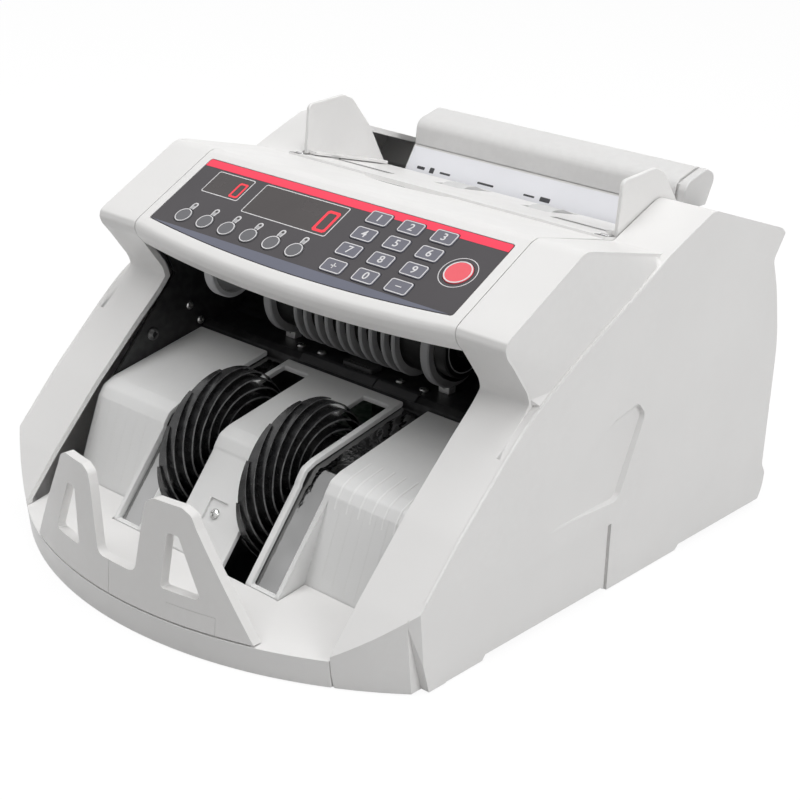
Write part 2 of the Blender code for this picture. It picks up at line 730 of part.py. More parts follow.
def cross_plate(coat):
    """The black bent plate between the frame plates: a ledge behind the deck and a curve behind the roller."""
    axis_y, axis_z = counting_axis()
    reach = COUNTING_RADIUS + CROSS_ROLLER_GAP
    outer = []
    for share, drop in zip(CROSS_DEPTH_SHARES, CROSS_DROPS):
        outer.append((along_depth(share), axis_z - reach - drop))
    for angle in stations(*CROSS_ARC, CROSS_ARC_STEPS):
        outer.append((axis_y + reach * math.cos(angle), axis_z + reach * math.sin(angle)))
    inner = offset_line(outer, CROSS_THICKNESS)
    half = FRAME_FACE - CLEARANCE
    return finish(as_object("cross_plate", prism_x(outer + inner[::-1], -half, half)), coat)


def vane(tip_angle):
    """One long vane, wound in from its pointed tip to the hub."""
    outer = WHEEL_RADIUS - VANE_THICKNESS / 2
    inner = WHEEL_HUB_RADIUS - VANE_THICKNESS
    path = []
    for share in stations(0, 1, VANE_STEPS):
        radius = outer - (outer - inner) * share**VANE_CURVE
        angle = tip_angle + VANE_SWEEP * share
        path.append((radius * math.cos(angle), radius * math.sin(angle)))
    left = -WHEEL_WIDTH / 2
    width = WHEEL_WIDTH - VANE_INSET
    sections = []
    for index, ((y, z), (away_y, away_z)) in enumerate(zip(path, offset_line(path, 1))):
        reach = min(1, index / VANE_STEPS * VANE_SWEEP / VANE_POINT_SWEEP)
        right = left + VANE_POINT_WIDTH + (width - VANE_POINT_WIDTH) * reach
        half = VANE_THICKNESS / 2 * (VANE_TIP_SHARE + (1 - VANE_TIP_SHARE) * reach)
        out = (y + half * (away_y - y), z + half * (away_z - z))
        back = (y - half * (away_y - y), z - half * (away_z - z))
        sections.append([(left, *out), (right, *out), (right, *back), (left, *back)])
    made = loft(sections)
    bmesh.ops.triangulate(made, faces=made.faces)
    return made


def stacker_wheel(name, side, coat):
    """A hub with long swept vanes, all of one moulding."""
    half_width = WHEEL_WIDTH / 2
    hub = prism_x(circle(WHEEL_HUB_RADIUS, 2 * ROLLER_SIDES), -half_width, half_width)
    made = as_object(name, hub, (side * WHEEL_CENTRE, *stacker_axis()))
    join(made, *[vane(VANE_FIRST + math.tau / VANES * number) for number in range(VANES)])
    bore = circle(SHAFT_RADIUS + SHAFT_CLEARANCE, SHAFT_SIDES)
    cut(made, prism_x(bore, -half_width - OVERRUN, half_width + OVERRUN))
    return finish(made, coat)


def shaft(name, axis, coat, left_pulley=None, right_pulley=None):
    """A shaft through both frame plates, with collars inside them and pulleys outside."""
    inner = FRAME_FACE - CLEARANCE
    outer = FRAME_FACE + FRAME_THICKNESS + CLEARANCE
    left = end_stations(inner, outer, left_pulley)
    right = end_stations(inner, outer, right_pulley)
    run = [(-x, radius) for x, radius in left[::-1]] + right
    return finish(as_object(name, turned(run, SHAFT_SIDES), (0, *axis)), coat)


def end_stations(inner, outer, pulley):
    """The (x, radius) steps of one end of a shaft, from its collar outwards."""
    steps = [(inner - COLLAR_WIDTH, SHAFT_RADIUS), (inner - COLLAR_WIDTH, COLLAR_RADIUS)]
    steps += [(inner, COLLAR_RADIUS), (inner, SHAFT_RADIUS)]
    if pulley is None:
        return steps + [(outer + COLLAR_WIDTH, SHAFT_RADIUS)]
    start = outer + PULLEY_GAP
    return steps + [(start, SHAFT_RADIUS), (start, pulley), (start + PULLEY_WIDTH, pulley)]


def roller(name, axis, steps, coat, x=0):
    """A turned roller with a bore for its shaft."""
    made = as_object(name, turned(steps, ROLLER_SIDES), (x, *axis))
    ends = (steps[0][0] - OVERRUN, steps[-1][0] + OVERRUN)
    cut(made, prism_x(circle(SHAFT_RADIUS + SHAFT_CLEARANCE, SHAFT_SIDES), *ends))
    return finish(made, coat)


def ribbed_steps(bands, core, radius, end):
    """The (x, radius) steps of a drum whose bands, given as (centre, width), stand above its core."""
    steps = [(-end, core)]
    for centre, width in sorted(bands):
        steps += [(centre - width / 2, core), (centre - width / 2, radius)]
        steps += [(centre + width / 2, radius), (centre + width / 2, core)]
    return steps + [(end, core)]


def counting_roller(coat):
    """The drum with five pairs of thin rings between two wide tyres."""
    bands = [(-TYRE_CENTRE, TYRE_WIDTH), (TYRE_CENTRE, TYRE_WIDTH)]
    for pair in range(RING_PAIRS):
        middle = (pair - (RING_PAIRS - 1) / 2) * RING_PAIR_PITCH
        bands += [(middle - RING_PAIR_GAP / 2, RING_WIDTH), (middle + RING_PAIR_GAP / 2, RING_WIDTH)]
    end = TYRE_CENTRE + TYRE_WIDTH
    steps = ribbed_steps(bands, COUNTING_CORE_RADIUS, COUNTING_RADIUS, end)
    return roller("counting_roller", counting_axis(), steps, coat)


def feed_roller(coat):
    """The drum whose two tyres reach through the hopper plate."""
    bands = [(-FEED_TYRE_CENTRE, FEED_TYRE_WIDTH), (FEED_TYRE_CENTRE, FEED_TYRE_WIDTH)]
    steps = ribbed_steps(bands, FEED_CORE_RADIUS, FEED_RADIUS, FEED_TYRE_CENTRE + FEED_TYRE_WIDTH)
    return roller("feed_roller", feed_axis(), steps, coat)


def pull_wheels(coat):
    """The two pale wheels above the throat."""
    half = PULL_WHEEL_WIDTH / 2
    steps = [(-half, PULL_RADIUS), (half, PULL_RADIUS)]
    for name, side in (("left_pull_wheel", -1), ("right_pull_wheel", 1)):
        roller(name, pull_axis(), steps, coat, side * PULL_WHEEL_CENTRE)


def belt(name, pulleys, x, coat):
    """An endless belt round pulleys given as (axis, radius)."""
    made = None
    for extra in (BELT_THICKNESS, 0):
        points = []
        for axis, radius in pulleys:
            points += circle(radius + CLEARANCE + extra, 2 * ROLLER_SIDES, axis)
        loop = prism_x(hull(points), x - BELT_WIDTH / 2, x + BELT_WIDTH / 2)
        if made is None:
            made = as_object(name, loop)
        else:
            loop.free()
            cut(made, prism_x(hull(points), x - BELT_WIDTH, x + BELT_WIDTH))
    return finish(made, coat)


def hull(points):
    """The convex outline of points, counter-clockwise."""
    ordered = sorted(set(points))
    sides = []
    for run in (ordered, ordered[::-1]):
        side = []
        for point in run:
            while len(side) > 1 and turn(side[-2], side[-1], point) <= 0:
                side.pop()
            side.append(point)
        sides += side[:-1]
    return sides


def turn(a, b, c):
    """Positive where a, b, c turn left."""
    return (b[0] - a[0]) * (c[1] - a[1]) - (b[1] - a[1]) * (c[0] - a[0])


def main_motor(coat):
    """The motor on the left frame plate, its shaft bore open towards the plate."""
    face = FRAME_FACE - CLEARANCE
    steps = [(-face, MOTOR_RADIUS), (-face + MOTOR_LENGTH, MOTOR_RADIUS)]
    made = as_object("main_motor", turned(steps, 2 * ROLLER_SIDES), (0, *motor_axis()))
    bore = circle(MOTOR_SHAFT_RADIUS + SHAFT_CLEARANCE, SHAFT_SIDES)
    cut(made, prism_x(bore, -face - OVERRUN, -face + MOTOR_BORE_DEPTH))
    return finish(made, coat)


def motor_pulley(coat):
    """The motor's shaft end with its pulley and the flywheel beyond it."""
    start = FRAME_FACE + FRAME_THICKNESS + CLEARANCE + PULLEY_GAP
    pulley_end = start + PULLEY_WIDTH
    rim = (SHOULDER_HALF - SHELL_WALL - FLYWHEEL_GAP, pulley_end + FLYWHEEL_GAP)
    steps = [(-x, FLYWHEEL_RADIUS) for x in rim]
    steps += [(-rim[1], FLYWHEEL_HUB_RADIUS), (-pulley_end, FLYWHEEL_HUB_RADIUS)]
    steps += [(-pulley_end, MOTOR_PULLEY_RADIUS), (-start, MOTOR_PULLEY_RADIUS)]
    end = MOTOR_BORE_DEPTH - FRAME_FACE - 2 * CLEARANCE
    steps += [(-start, MOTOR_SHAFT_RADIUS), (end, MOTOR_SHAFT_RADIUS)]
    return finish(as_object("motor_pulley", turned(steps, SHAFT_SIDES), (0, *motor_axis())), coat)


def console_bow(x):
    """How far the console's front edge stands forward at x."""
    return CONSOLE_BOW * (1 - (x / COVER_HALF) ** 2)


def panel_slope():
    """Rise of the key panel for each metre back."""
    foot = place(BEAK_SHARES[-1])
    ridge = place(SHOULDER_SHARES[0])
    return (ridge[1] - foot[1]) / (ridge[0] - foot[0])


def panel_frame():
    """An empty on the key panel's lower edge: its Y runs up the panel and its Z stands out of it."""
    angle = math.atan(panel_slope())
    foot = place(BEAK_SHARES[-1])
    made = bpy.data.objects.new("panel_frame", None)
    made.location = (
        0,
        foot[0] + OVERLAY_SETBACK * math.cos(angle),
        foot[1] + OVERLAY_SETBACK * math.sin(angle),
    )
    made.rotation_euler = (angle, 0, 0)
    bpy.context.scene.collection.objects.link(made)
    bpy.context.view_layer.update()
    return made


def overlay_size():
    """Half width and length of the key panel."""
    slope_length = math.dist(place(BEAK_SHARES[-1]), place(SHOULDER_SHARES[0]))
    return COVER_HALF - OVERLAY_MARGIN, slope_length - OVERLAY_SETBACK - OVERLAY_REAR_MARGIN


def on_overlay(share):
    """Point of the key panel's own plane from its shares of the panel's half width and length."""
    half, length = overlay_size()
    return (share[0] * half, share[1] * length)


def window_limits(shares):
    """A display window's limits (x0, x1, y0, y1) in the panel's own plane."""
    across, along = shares
    x0, y0 = on_overlay((across[0], along[0]))
    x1, y1 = on_overlay((across[1], along[1]))
    return x0, x1, y0, y1


def overlay_outline(extra):
    """The key panel's outline in its own plane, its lower edge bowed forward."""
    half, length = overlay_size()
    reach = CONSOLE_BOW / math.cos(math.atan(panel_slope())) - OVERLAY_SETBACK / 2
    lower = []
    for x in stations(-half - extra, half + extra, OVERLAY_POINTS):
        lower.append((x, -reach * (1 - (x / (half + extra)) ** 2) - extra))
    return lower + [(half + extra, length + extra), (-half - extra, length + extra)]


def window_box(shares, margin, depth):
    """A box over one display window, from the overlay's underside down."""
    x0, x1, y0, y1 = window_limits(shares)
    return box((x0 - margin, x1 + margin), (y0 - margin, y1 + margin), (-depth, OVERRUN))


def console_cover(frame, coat):
    """The sloped cover between the shoulders, with the recess for the key panel."""
    line = outline(BEAK_SHARES[1:] + SHOULDER_SHARES[:-1] + (COVER_REAR_SHARE,))
    inner = offset_line(line, COVER_WALL)
    slope = panel_slope()
    bowed = len(BEAK_SHARES) - 1
    sections = []
    for x in stations(-COVER_HALF, COVER_HALF, COVER_STATIONS):
        bow = console_bow(x)
        section = []
        for index, (y, z) in enumerate(line):
            shift = bow if index < bowed else 0
            section.append((x, y - shift, z - shift * slope))
        for index, (y, z) in reversed(list(enumerate(inner))):
            shift = bow if index < bowed else 0
            section.append((x, y - shift, z - shift * slope))
        sections.append(section)
    made = as_object("console_cover", loft(sections))
    depth = OVERLAY_THICKNESS + CLEARANCE
    recess = prism_z(overlay_outline(CLEARANCE), -depth, OVERRUN)
    windows = [
        window_box(shares, WINDOW_MARGIN, 2 * COVER_WALL)
        for shares in (BATCH_WINDOW_SHARES, COUNT_WINDOW_SHARES)
    ]
    for shape in [recess, *windows]:
        shape.transform(frame.matrix_world)
        cut(made, shape)
    return finish(made, coat)


def rounded(width, length, corner):
    """A rounded rectangle about the origin."""
    points = []
    for quarter in range(4):
        x = (width / 2 - corner) * (1 if quarter in (0, 3) else -1)
        y = (length / 2 - corner) * (1 if quarter < 2 else -1)
        for step in range(3):
            angle = (quarter + step / 2) * math.pi / 2
            points.append((x + corner * math.cos(angle), y + corner * math.sin(angle)))
    return points


def number_key_outline(extra):
    """Outline of a number key, larger all round by extra."""
    return rounded(KEY_WIDTH + 2 * extra, KEY_LENGTH + 2 * extra, KEY_CORNER + extra)


def function_key_outline(extra):
    """Outline of a function key, larger all round by extra."""
    return circle(FUNCTION_RADIUS + extra, ROUND_KEY_SIDES)


def restart_key_outline(extra):
    """Outline of the red key, larger all round by extra."""
    return circle(RESTART_RADIUS + extra, ROUND_KEY_SIDES)


def key_places():
    """Each key's name, centre and outline, in the panel's own plane."""
    places = []
    for row, names in zip(KEY_ROW_SHARES, KEY_NAMES):
        for column, name in zip(KEY_COLUMN_SHARES, names):
            places.append((name, on_overlay((column, row)), number_key_outline))
    for number in range(FUNCTION_KEYS):
        share = (FUNCTION_FIRST_SHARE[0] + number * FUNCTION_PITCH_SHARE, FUNCTION_FIRST_SHARE[1])
        places.append((f"function_key_{number + 1}", on_overlay(share), function_key_outline))
    places.append(("restart_key", on_overlay(RESTART_SHARE), restart_key_outline))
    return places


def keypad(frame, film, caps, round_caps, restart_cap):
    """The overlay film with an opening for each key, and the keys that travel in them."""
    overlay = as_object("keypad_overlay", prism_z(overlay_outline(0), -OVERLAY_THICKNESS, 0), parent=frame)
    for name, (x, y), shape in key_places():
        opening = [(x + u, y + v) for u, v in shape(CLEARANCE)]
        cut(overlay, prism_z(opening, -OVERLAY_THICKNESS - OVERRUN, OVERRUN))
        key = as_object(name, prism_z(shape(0), KEY_PROUD - KEY_HEIGHT, KEY_PROUD), (x, y, 0), frame)
        coat = caps
        if name.startswith("function"):
            coat = round_caps
        elif name.startswith("restart"):
            coat = restart_cap
        finish(key, coat)
    finish(overlay, film)


def display_board(frame, coat):
    """The board under the cover, whose two display blocks stand up into the windows."""
    margin = DISPLAY_BOARD_MARGIN
    windows = [window_limits(shares) for shares in (BATCH_WINDOW_SHARES, COUNT_WINDOW_SHARES)]
    batch, count = windows
    x = (batch[0] - margin, count[1] + margin)
    y = (count[2] - margin, count[3] + margin)
    made = as_object(
        "display_board", box(x, y, (-DISPLAY_DEPTH - BOARD_THICKNESS, -DISPLAY_DEPTH)), parent=frame)
    top = -OVERLAY_THICKNESS - CLEARANCE
    for x0, x1, y0, y1 in windows:
        join(made, box((x0, x1), (y0, y1), (-DISPLAY_DEPTH - BOARD_THICKNESS / 2, top)))
    return finish(made, coat)


def hopper_line():
    """The hopper plate's upper face in the side view."""
    return outline(HOPPER_SHARES)


def hopper_plate(coat):
    """The sloped plate under the notes, open for the feed tyres and the guides' tabs."""
    line = hopper_line()
    under = offset_line(line, HOPPER_THICKNESS)
    made = as_object("hopper_plate", prism_x(line + under[::-1], -HOPPER_HALF, HOPPER_HALF))
    lug_top, lug_base = [offset_line(line, share * HOPPER_THICKNESS) for share in LUG_SHARES]
    front, rear = seat_limits()
    lug = [(front, on_line(lug_top, front)), (rear, on_line(lug_top, rear))]
    lug += [(rear, on_line(lug_base, rear)), (front, on_line(lug_base, front))]
    lug_end = FRAME_FACE + FRAME_THICKNESS
    for side in (-1, 1):
        join(made, prism_x(lug, side * (HOPPER_HALF - HOPPER_THICKNESS), side * lug_end))
    slope = (line[1][1] - line[0][1]) / (line[1][0] - line[0][0])
    fall = math.sqrt(1 + slope**2)
    reach = FEED_RADIUS - FEED_PROUD - HOPPER_THICKNESS
    half = math.sqrt(FEED_RADIUS**2 - reach**2) / fall + FEED_SLOT_GAP
    middle = feed_axis()[0] - reach * slope / fall
    tyre = FEED_TYRE_WIDTH / 2 + FEED_SLOT_GAP
    low, high = guide_tab_limits()
    for side in (-1, 1):
        x = side * FEED_TYRE_CENTRE
        cut(made, box((x - tyre, x + tyre), (middle - half, middle + half), (0, 2 * HEIGHT)))
        inner = HOPPER_HALF - GUIDE_FOOT_WIDTH - GUIDE_TRAVEL - FEED_SLOT_GAP
        outer = HOPPER_HALF - GUIDE_THICKNESS
        ends = sorted((side * inner, side * outer))
        cut(made, box(ends, (low - CLEARANCE, high + CLEARANCE), (0, 2 * HEIGHT)))
    return finish(made, coat)


def seat_limits():
    """Front and rear of the frame plates' straight top, on which the hopper plate's lugs lie."""
    return [along_depth(share) for share in FRAME_SEAT_SHARES]


def guide_tab_limits():
    """Front and rear of the tab under each note guide."""
    middle = along_depth(GUIDE_TAB_SHARE)
    return middle - GUIDE_TAB_LENGTH / 2, middle + GUIDE_TAB_LENGTH / 2


def note_guide(name, side, coat):
    """A wing that holds the notes' ends, with a foot on the hopper plate and a catch under it."""
    line = hopper_line()
    points = outline(GUIDE_SHARES)
    lift = CLEARANCE / math.cos(math.atan2(line[0][1] - line[1][1], line[1][0] - line[0][0]))
    points[0] = (points[0][0], on_line(line, points[0][0]) + lift)
    points[-1] = (points[-1][0], on_line(line, points[-1][0]) + lift)
    outer = HOPPER_HALF - CLEARANCE
    made = as_object(name, prism_x(points, side * (outer - GUIDE_THICKNESS), side * outer))
    front, rear = [along_depth(share) for share in GUIDE_FOOT_SHARES]
    foot_lift = lift + GUIDE_FOOT_LIFT
    foot_low = [(y, on_line(line, y) + foot_lift) for y in (front, rear)]
    foot_high = [(y, z + GUIDE_FOOT_THICKNESS) for y, z in foot_low]
    inner = outer - GUIDE_FOOT_WIDTH
    join(made, prism_x(foot_low + foot_high[::-1], side * inner, side * (outer - GUIDE_THICKNESS / 2)))
    low, high = guide_tab_limits()
    catch_low, catch_high = spread((low + high) / 2, GUIDE_CATCH_LENGTH)
    middle_lift = foot_lift + GUIDE_FOOT_THICKNESS / 2
    catch_top = on_line(line, high) - GUIDE_TAB_DROP
    catch_bottom = catch_top - GUIDE_CATCH_THICKNESS
    tab = [(low, on_line(line, low) + middle_lift), (high, on_line(line, high) + middle_lift)]
    tab += [(high, catch_top), (catch_high, catch_top), (catch_high, catch_bottom)]
    tab += [(catch_low, catch_bottom), (catch_low, catch_top), (low, catch_top)]
    tab_end = outer - GUIDE_THICKNESS - FEED_SLOT_GAP
    join(made, prism_x(tab, side * (inner + GUIDE_TAB_INSET), side * tab_end))
    return finish(made, coat)


def note_rest(coat):
    """The bent plate at the hopper's back: a slope at its foot, an upright and a top that leans back."""
    line = outline(REST_SHARES)
    made = as_object("note_rest", prism_x(line, -REST_HALF, REST_HALF))
    inner = offset_line(line, REST_WALL)
    drop = 2 * REST_WALL
    hollow = [(inner[0][0], line[0][1] - drop)] + inner[:-1]
    hollow += [(inner[-1][0], inner[-1][1]), (inner[-1][0], line[0][1] - drop)]
    cut(made, prism_x(hollow, -REST_HALF + REST_WALL, REST_HALF - REST_WALL))
    slope = outline(BACK_PLATE_SHARES)
    behind = offset_line(slope, REST_WALL)
    top = (line[0][0] + REST_WALL, line[0][1] + REST_WALL)
    join(made, prism_x(slope + [top] + behind[::-1], -REST_HALF, REST_HALF))
    return finish(made, coat)


def rear_line():
    """The rear wall's outer face, from the hopper's back over the grip to the foot."""
    return outline((REAR_TOP_SHARE, RIM_SHARES[-1]) + REAR_SHARES)


def rear_face_y(z):
    """The rear wall's outer face at a height on its lower part."""
    line = rear_line()
    for upper, lower in zip(line, line[1:]):
        if lower[1] <= z <= upper[1]:
            return upper[0] + (lower[0] - upper[0]) * (upper[1] - z) / (upper[1] - lower[1])
    return line[-1][0]


def rear_cover(coat):
    """The rear wall with its openings for the inlet, the switch and the air."""
    line = rear_line()
    inner = offset_line(line, REAR_WALL)
    half = THROAT_HALF - SEAM
    made = as_object("rear_cover", prism_x(line + inner[::-1], -half, half))
    reach = (DEPTH / 4, DEPTH)
    openings = [(INLET_CENTRE_X, INLET_CENTRE_Z, INLET_WIDTH, INLET_HEIGHT)]
    for number in range(VENT_COUNT):
        openings.append((VENT_CENTRE_X, VENT_FIRST_Z + number * VENT_PITCH, VENT_WIDTH, VENT_HEIGHT))
    for x, z, width, height in openings:
        side = width / 2 + CLEARANCE
        rise = height / 2 + CLEARANCE
        cut(made, box((x - side, x + side), reach, (z - rise, z + rise)))
    return finish(made, coat)


def inlet_face_y():
    """The rear wall's outermost face behind the inlet's flange."""
    rise = INLET_HEIGHT / 2 + INLET_FLANGE
    return max(rear_face_y(INLET_CENTRE_Z - rise), rear_face_y(INLET_CENTRE_Z + rise)) + CLEARANCE


def power_inlet(coat):
    """The mains inlet: a flange outside the wall, a socket and a well for the rocker, both open to the rear."""
    face = inlet_face_y()
    x, z = INLET_CENTRE_X, INLET_CENTRE_Z
    wide, tall = INLET_WIDTH / 2, INLET_HEIGHT / 2
    made = as_object("power_inlet", box((x - wide, x + wide), (face - INLET_DEPTH, face), (z - tall, z + tall)))
    wide, tall = wide + INLET_FLANGE, tall + INLET_FLANGE
    join(made, box((x - wide, x + wide), (face - CLEARANCE / 2, face + INLET_FLANGE), (z - tall, z + tall)))
    rear = face + DEPTH
    x, wide, tall = SOCKET_CENTRE_X, SOCKET_WIDTH / 2, SOCKET_HEIGHT / 2
    cut(made, box((x - wide, x + wide), (face - INLET_DEPTH + INLET_WALL, rear), (z - tall, z + tall)))
    x, wide, tall = SWITCH_CENTRE_X, SWITCH_WIDTH / 2, SWITCH_HEIGHT / 2
    cut(made, box((x - wide, x + wide), (face - SWITCH_WELL, rear), (z - tall, z + tall)))
    return finish(made, coat)


def power_switch(coat):
    """The rocker in the inlet's well, tipped to one end, its origin on the axis it tips about."""
    axis_y = inlet_face_y()
    tall = SWITCH_HEIGHT / 2 - SWITCH_DEPTH * math.tan(SWITCH_SWING) - CLEARANCE
    ends = SWITCH_WIDTH / 2 - CLEARANCE
    face = INLET_FLANGE / 2
    rise = face + tall * math.tan(SWITCH_SWING)
    points = [(-face, -tall), (rise, -tall), (face, 0), (rise, tall), (-face, tall), (-SWITCH_DEPTH, tall / 2)]
    points.append((-SWITCH_DEPTH, -tall / 2))
    made = as_object("power_switch", prism_x(points, -ends, ends), (SWITCH_CENTRE_X, axis_y, INLET_CENTRE_Z))
    made.rotation_euler = (SWITCH_SWING, 0, 0)
    return finish(made, coat)


def control_board(coat):
    """The main board on four posts, with its larger parts."""
    front, rear = [along_depth(share) for share in CONTROL_SHARES]
    low = CONTROL_HEIGHT
    middle = low + BOARD_THICKNESS / 2
    across_board = (CONTROL_LEFT, CONTROL_RIGHT)
    made = as_object("control_board", box(across_board, (front, rear), (low, low + BOARD_THICKNESS)))
    inset = CONTROL_POST_INSET
    for x in (CONTROL_LEFT + inset, CONTROL_RIGHT - inset):
        for y in (front + inset, rear - inset):
            post = circle(CONTROL_POST_RADIUS, SHAFT_SIDES, (x, y))
            join(made, prism_z(post, PAN_TOP + CLEARANCE, middle))
    length = rear - front
    for along, across, size, rise in CONTROL_PART_SHARES:
        x = CONTROL_LEFT + across * (CONTROL_RIGHT - CONTROL_LEFT)
        y = front + along * length
        half = size * length / 2
        join(made, box((x - half, x + half), (y - half, y + half), (middle, low + rise * length)))
    return finish(made, coat)


def transformer(coat):
    """The mains transformer: laminated core, coil and fixing foot."""
    x = TRANSFORMER_X
    y = along_depth(TRANSFORMER_SHARE)
    floor = PAN_TOP + CLEARANCE
    wide, deep, thick = TRANSFORMER_FOOT
    made = as_object("transformer", box(spread(x, wide), spread(y, deep), (floor, floor + thick)))
    wide, deep, tall = TRANSFORMER_CORE
    middle = floor + tall / 2
    join(made, box(spread(x, wide), spread(y, deep), (floor + thick / 2, floor + tall)))
    wide, deep, tall = TRANSFORMER_COIL
    join(made, box(spread(x, wide), spread(y, deep), spread(middle, tall)))
    return finish(made, coat)


def main():
    """Builds the counter."""
    for old in list(bpy.data.objects):
        bpy.data.objects.remove(old, do_unlink=True)
    shell = make_material("shell_white", (0.72, 0.71, 0.70), 0.45)
    deck_white = make_material("deck_white", (0.76, 0.76, 0.75), 0.40)
    steel_black = make_material("steel_black", (0.02, 0.02, 0.02), 0.45, 0.4)
    steel_bright = make_material("steel_bright", (0.62, 0.62, 0.62), 0.18, 1.0)
    rubber_black = make_material("rubber_black", (0.02, 0.02, 0.02), 0.55)
    roller_grey = make_material("roller_grey", (0.30, 0.30, 0.31), 0.60)
    film = make_material("panel_charcoal", (0.09, 0.085, 0.09), 0.35)
    caps = make_material("key_charcoal", (0.13, 0.13, 0.16), 0.40)
    restart_cap = make_material("key_red", (0.80, 0.10, 0.13), 0.40)
    board = make_material("board_green", (0.05, 0.20, 0.10), 0.50)
    frame = panel_frame()
    base_pan(steel_black)
    rubber_feet(rubber_black)
    front_tray(shell)
    note_stop(shell)
    side_shell("left_side_shell", -1, shell)
    side_shell("right_side_shell", 1, shell)
    console_cover(frame, shell)
    keypad(frame, film, caps, caps, restart_cap)
    display_board(frame, board)
    stacker_deck(deck_white)
    guide_strips(steel_bright)
    frame_plate("left_frame_plate", -1, steel_black)
    frame_plate("right_frame_plate", 1, steel_black)
    cross_plate(steel_black)
    shaft("stacker_shaft", stacker_axis(), steel_bright, right_pulley=STACKER_PULLEY_RADIUS)
    stacker_wheel("left_stacker_wheel", -1, rubber_black)
    stacker_wheel("right_stacker_wheel", 1, rubber_black)
    shaft(
        "counting_shaft", counting_axis(), steel_bright,
        left_pulley=COUNTING_PULLEY_RADIUS, right_pulley=STACK_DRIVE_RADIUS,
    )
    counting_roller(roller_grey)
    shaft("pull_shaft", pull_axis(), steel_bright)
    pull_wheels(roller_grey)
    shaft("feed_shaft", feed_axis(), steel_bright, left_pulley=FEED_PULLEY_RADIUS)
    feed_roller(roller_grey)
    belt_x = FRAME_FACE + FRAME_THICKNESS + CLEARANCE + PULLEY_GAP + PULLEY_WIDTH / 2
    drive = [(motor_axis(), MOTOR_PULLEY_RADIUS), (feed_axis(), FEED_PULLEY_RADIUS)]
    drive.append((counting_axis(), COUNTING_PULLEY_RADIUS))
    belt("drive_belt", drive, -belt_x, rubber_black)
    stack = [(counting_axis(), STACK_DRIVE_RADIUS), (stacker_axis(), STACKER_PULLEY_RADIUS)]
    belt("stacker_belt", stack, belt_x, rubber_black)
    main_motor(steel_black)
    motor_pulley(steel_bright)
    hopper_plate(shell)
    note_guide("left_note_guide", -1, shell)
    note_guide("right_note_guide", 1, shell)
    note_rest(shell)
    rear_cover(shell)
    power_inlet(rubber_black)
    power_switch(rubber_black)
    control_board(board)
    transformer(steel_black)


main()
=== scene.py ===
"""Banknote counter: fine surfaces, small parts and finishes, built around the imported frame.

All sizes are metres. The machine stands on z = 0 and its front faces -Y. Side views are (y, z) points,
written as shares of the machine's depth and height as its frame gives them.
"""

from __future__ import annotations

import logging
import math
from collections.abc import Callable, Iterable, Sequence
from dataclasses import dataclass
from enum import Enum

import bmesh
import bpy
from mathutils import Matrix, Vector

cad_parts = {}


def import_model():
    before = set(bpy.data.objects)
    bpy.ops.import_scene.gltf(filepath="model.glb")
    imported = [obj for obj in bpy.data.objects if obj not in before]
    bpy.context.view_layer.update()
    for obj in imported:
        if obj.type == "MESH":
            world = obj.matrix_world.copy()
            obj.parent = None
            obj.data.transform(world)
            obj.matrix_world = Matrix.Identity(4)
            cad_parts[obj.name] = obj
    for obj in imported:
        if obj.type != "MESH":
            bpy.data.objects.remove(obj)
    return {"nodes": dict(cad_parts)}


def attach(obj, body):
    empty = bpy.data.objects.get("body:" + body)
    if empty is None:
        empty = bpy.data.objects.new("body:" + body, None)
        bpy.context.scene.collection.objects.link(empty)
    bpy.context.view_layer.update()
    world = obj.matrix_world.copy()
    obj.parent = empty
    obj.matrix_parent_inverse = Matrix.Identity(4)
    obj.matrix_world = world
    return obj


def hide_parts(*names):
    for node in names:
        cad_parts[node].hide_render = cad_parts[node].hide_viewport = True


LOG = logging.getLogger("counter")
Point = tuple[float, float]
Triple = tuple[float, float, float]
Colour = Triple
Shares = tuple[Point, ...]
Shape = bmesh.types.BMesh
EdgeTest = Callable[[bmesh.types.BMEdge], bool]
Socket = bpy.types.NodeSocket
Nodes = dict[str, bpy.types.Object]

EASE_STEPS = 3  # steps in the rounding of a prism's rim
MERGE = 1e-6  # points nearer than this are one
FLAT_BEND = math.radians(0.3)  # faces that bend less than this become one
ROUNDED_BEND = math.radians(34)  # edges that bend more than this are rounded
SHARP_BEND = math.radians(32)  # edges that bend more than this are shaded sharp
GENTLE_BEND = math.radians(24)  # corners of an outline that bend less than this become long arcs
LONG_ARC = 0.09  # the radius of those arcs
LEAST_BEND = math.radians(2)  # corners of an outline that bend less than this stay
EDGE_SHARE = 0.46  # the most of an edge that one corner's arc takes
SIDEWAYS = 0.9  # the least share of X in the normal of a face that looks sideways


class Side(Enum):
    """The machine's two sides, as the sign of X."""

    LEFT = -1
    RIGHT = 1

    @property
    def word(self) -> str:
        """The side's name in lower case."""
        return self.name.lower()

    def prism(self, points: Sequence[Point], low: float, high: float, ease: float = 0.0) -> Shape:
        """A side view's outline between two distances from the middle, on this side."""
        return prism(Axis.X, points, self.value * low, self.value * high, ease)


class Axis(Enum):
    """The direction in which an outline is carried to make a prism."""

    X = "x"
    Y = "y"
    Z = "z"

    def point(self, flat: Point, along: float) -> Triple:
        """The space point of a flat outline point at a distance along this axis."""
        places = {Axis.X: (along, *flat), Axis.Y: (flat[0], along, flat[1]), Axis.Z: (*flat, along)}
        return places[self]


# Flat outlines


def circle(radius: float, sides: int, centre: Point = (0.0, 0.0)) -> list[Point]:
    """Points of a circle, counter-clockwise.

    Args:
        radius: Its radius.
        sides: How many points.
        centre: Its centre.

    Returns:
        The points.
    """
    turn = math.tau / sides
    return [
        (centre[0] + radius * math.cos(turn * step), centre[1] + radius * math.sin(turn * step))
        for step in range(sides)
    ]


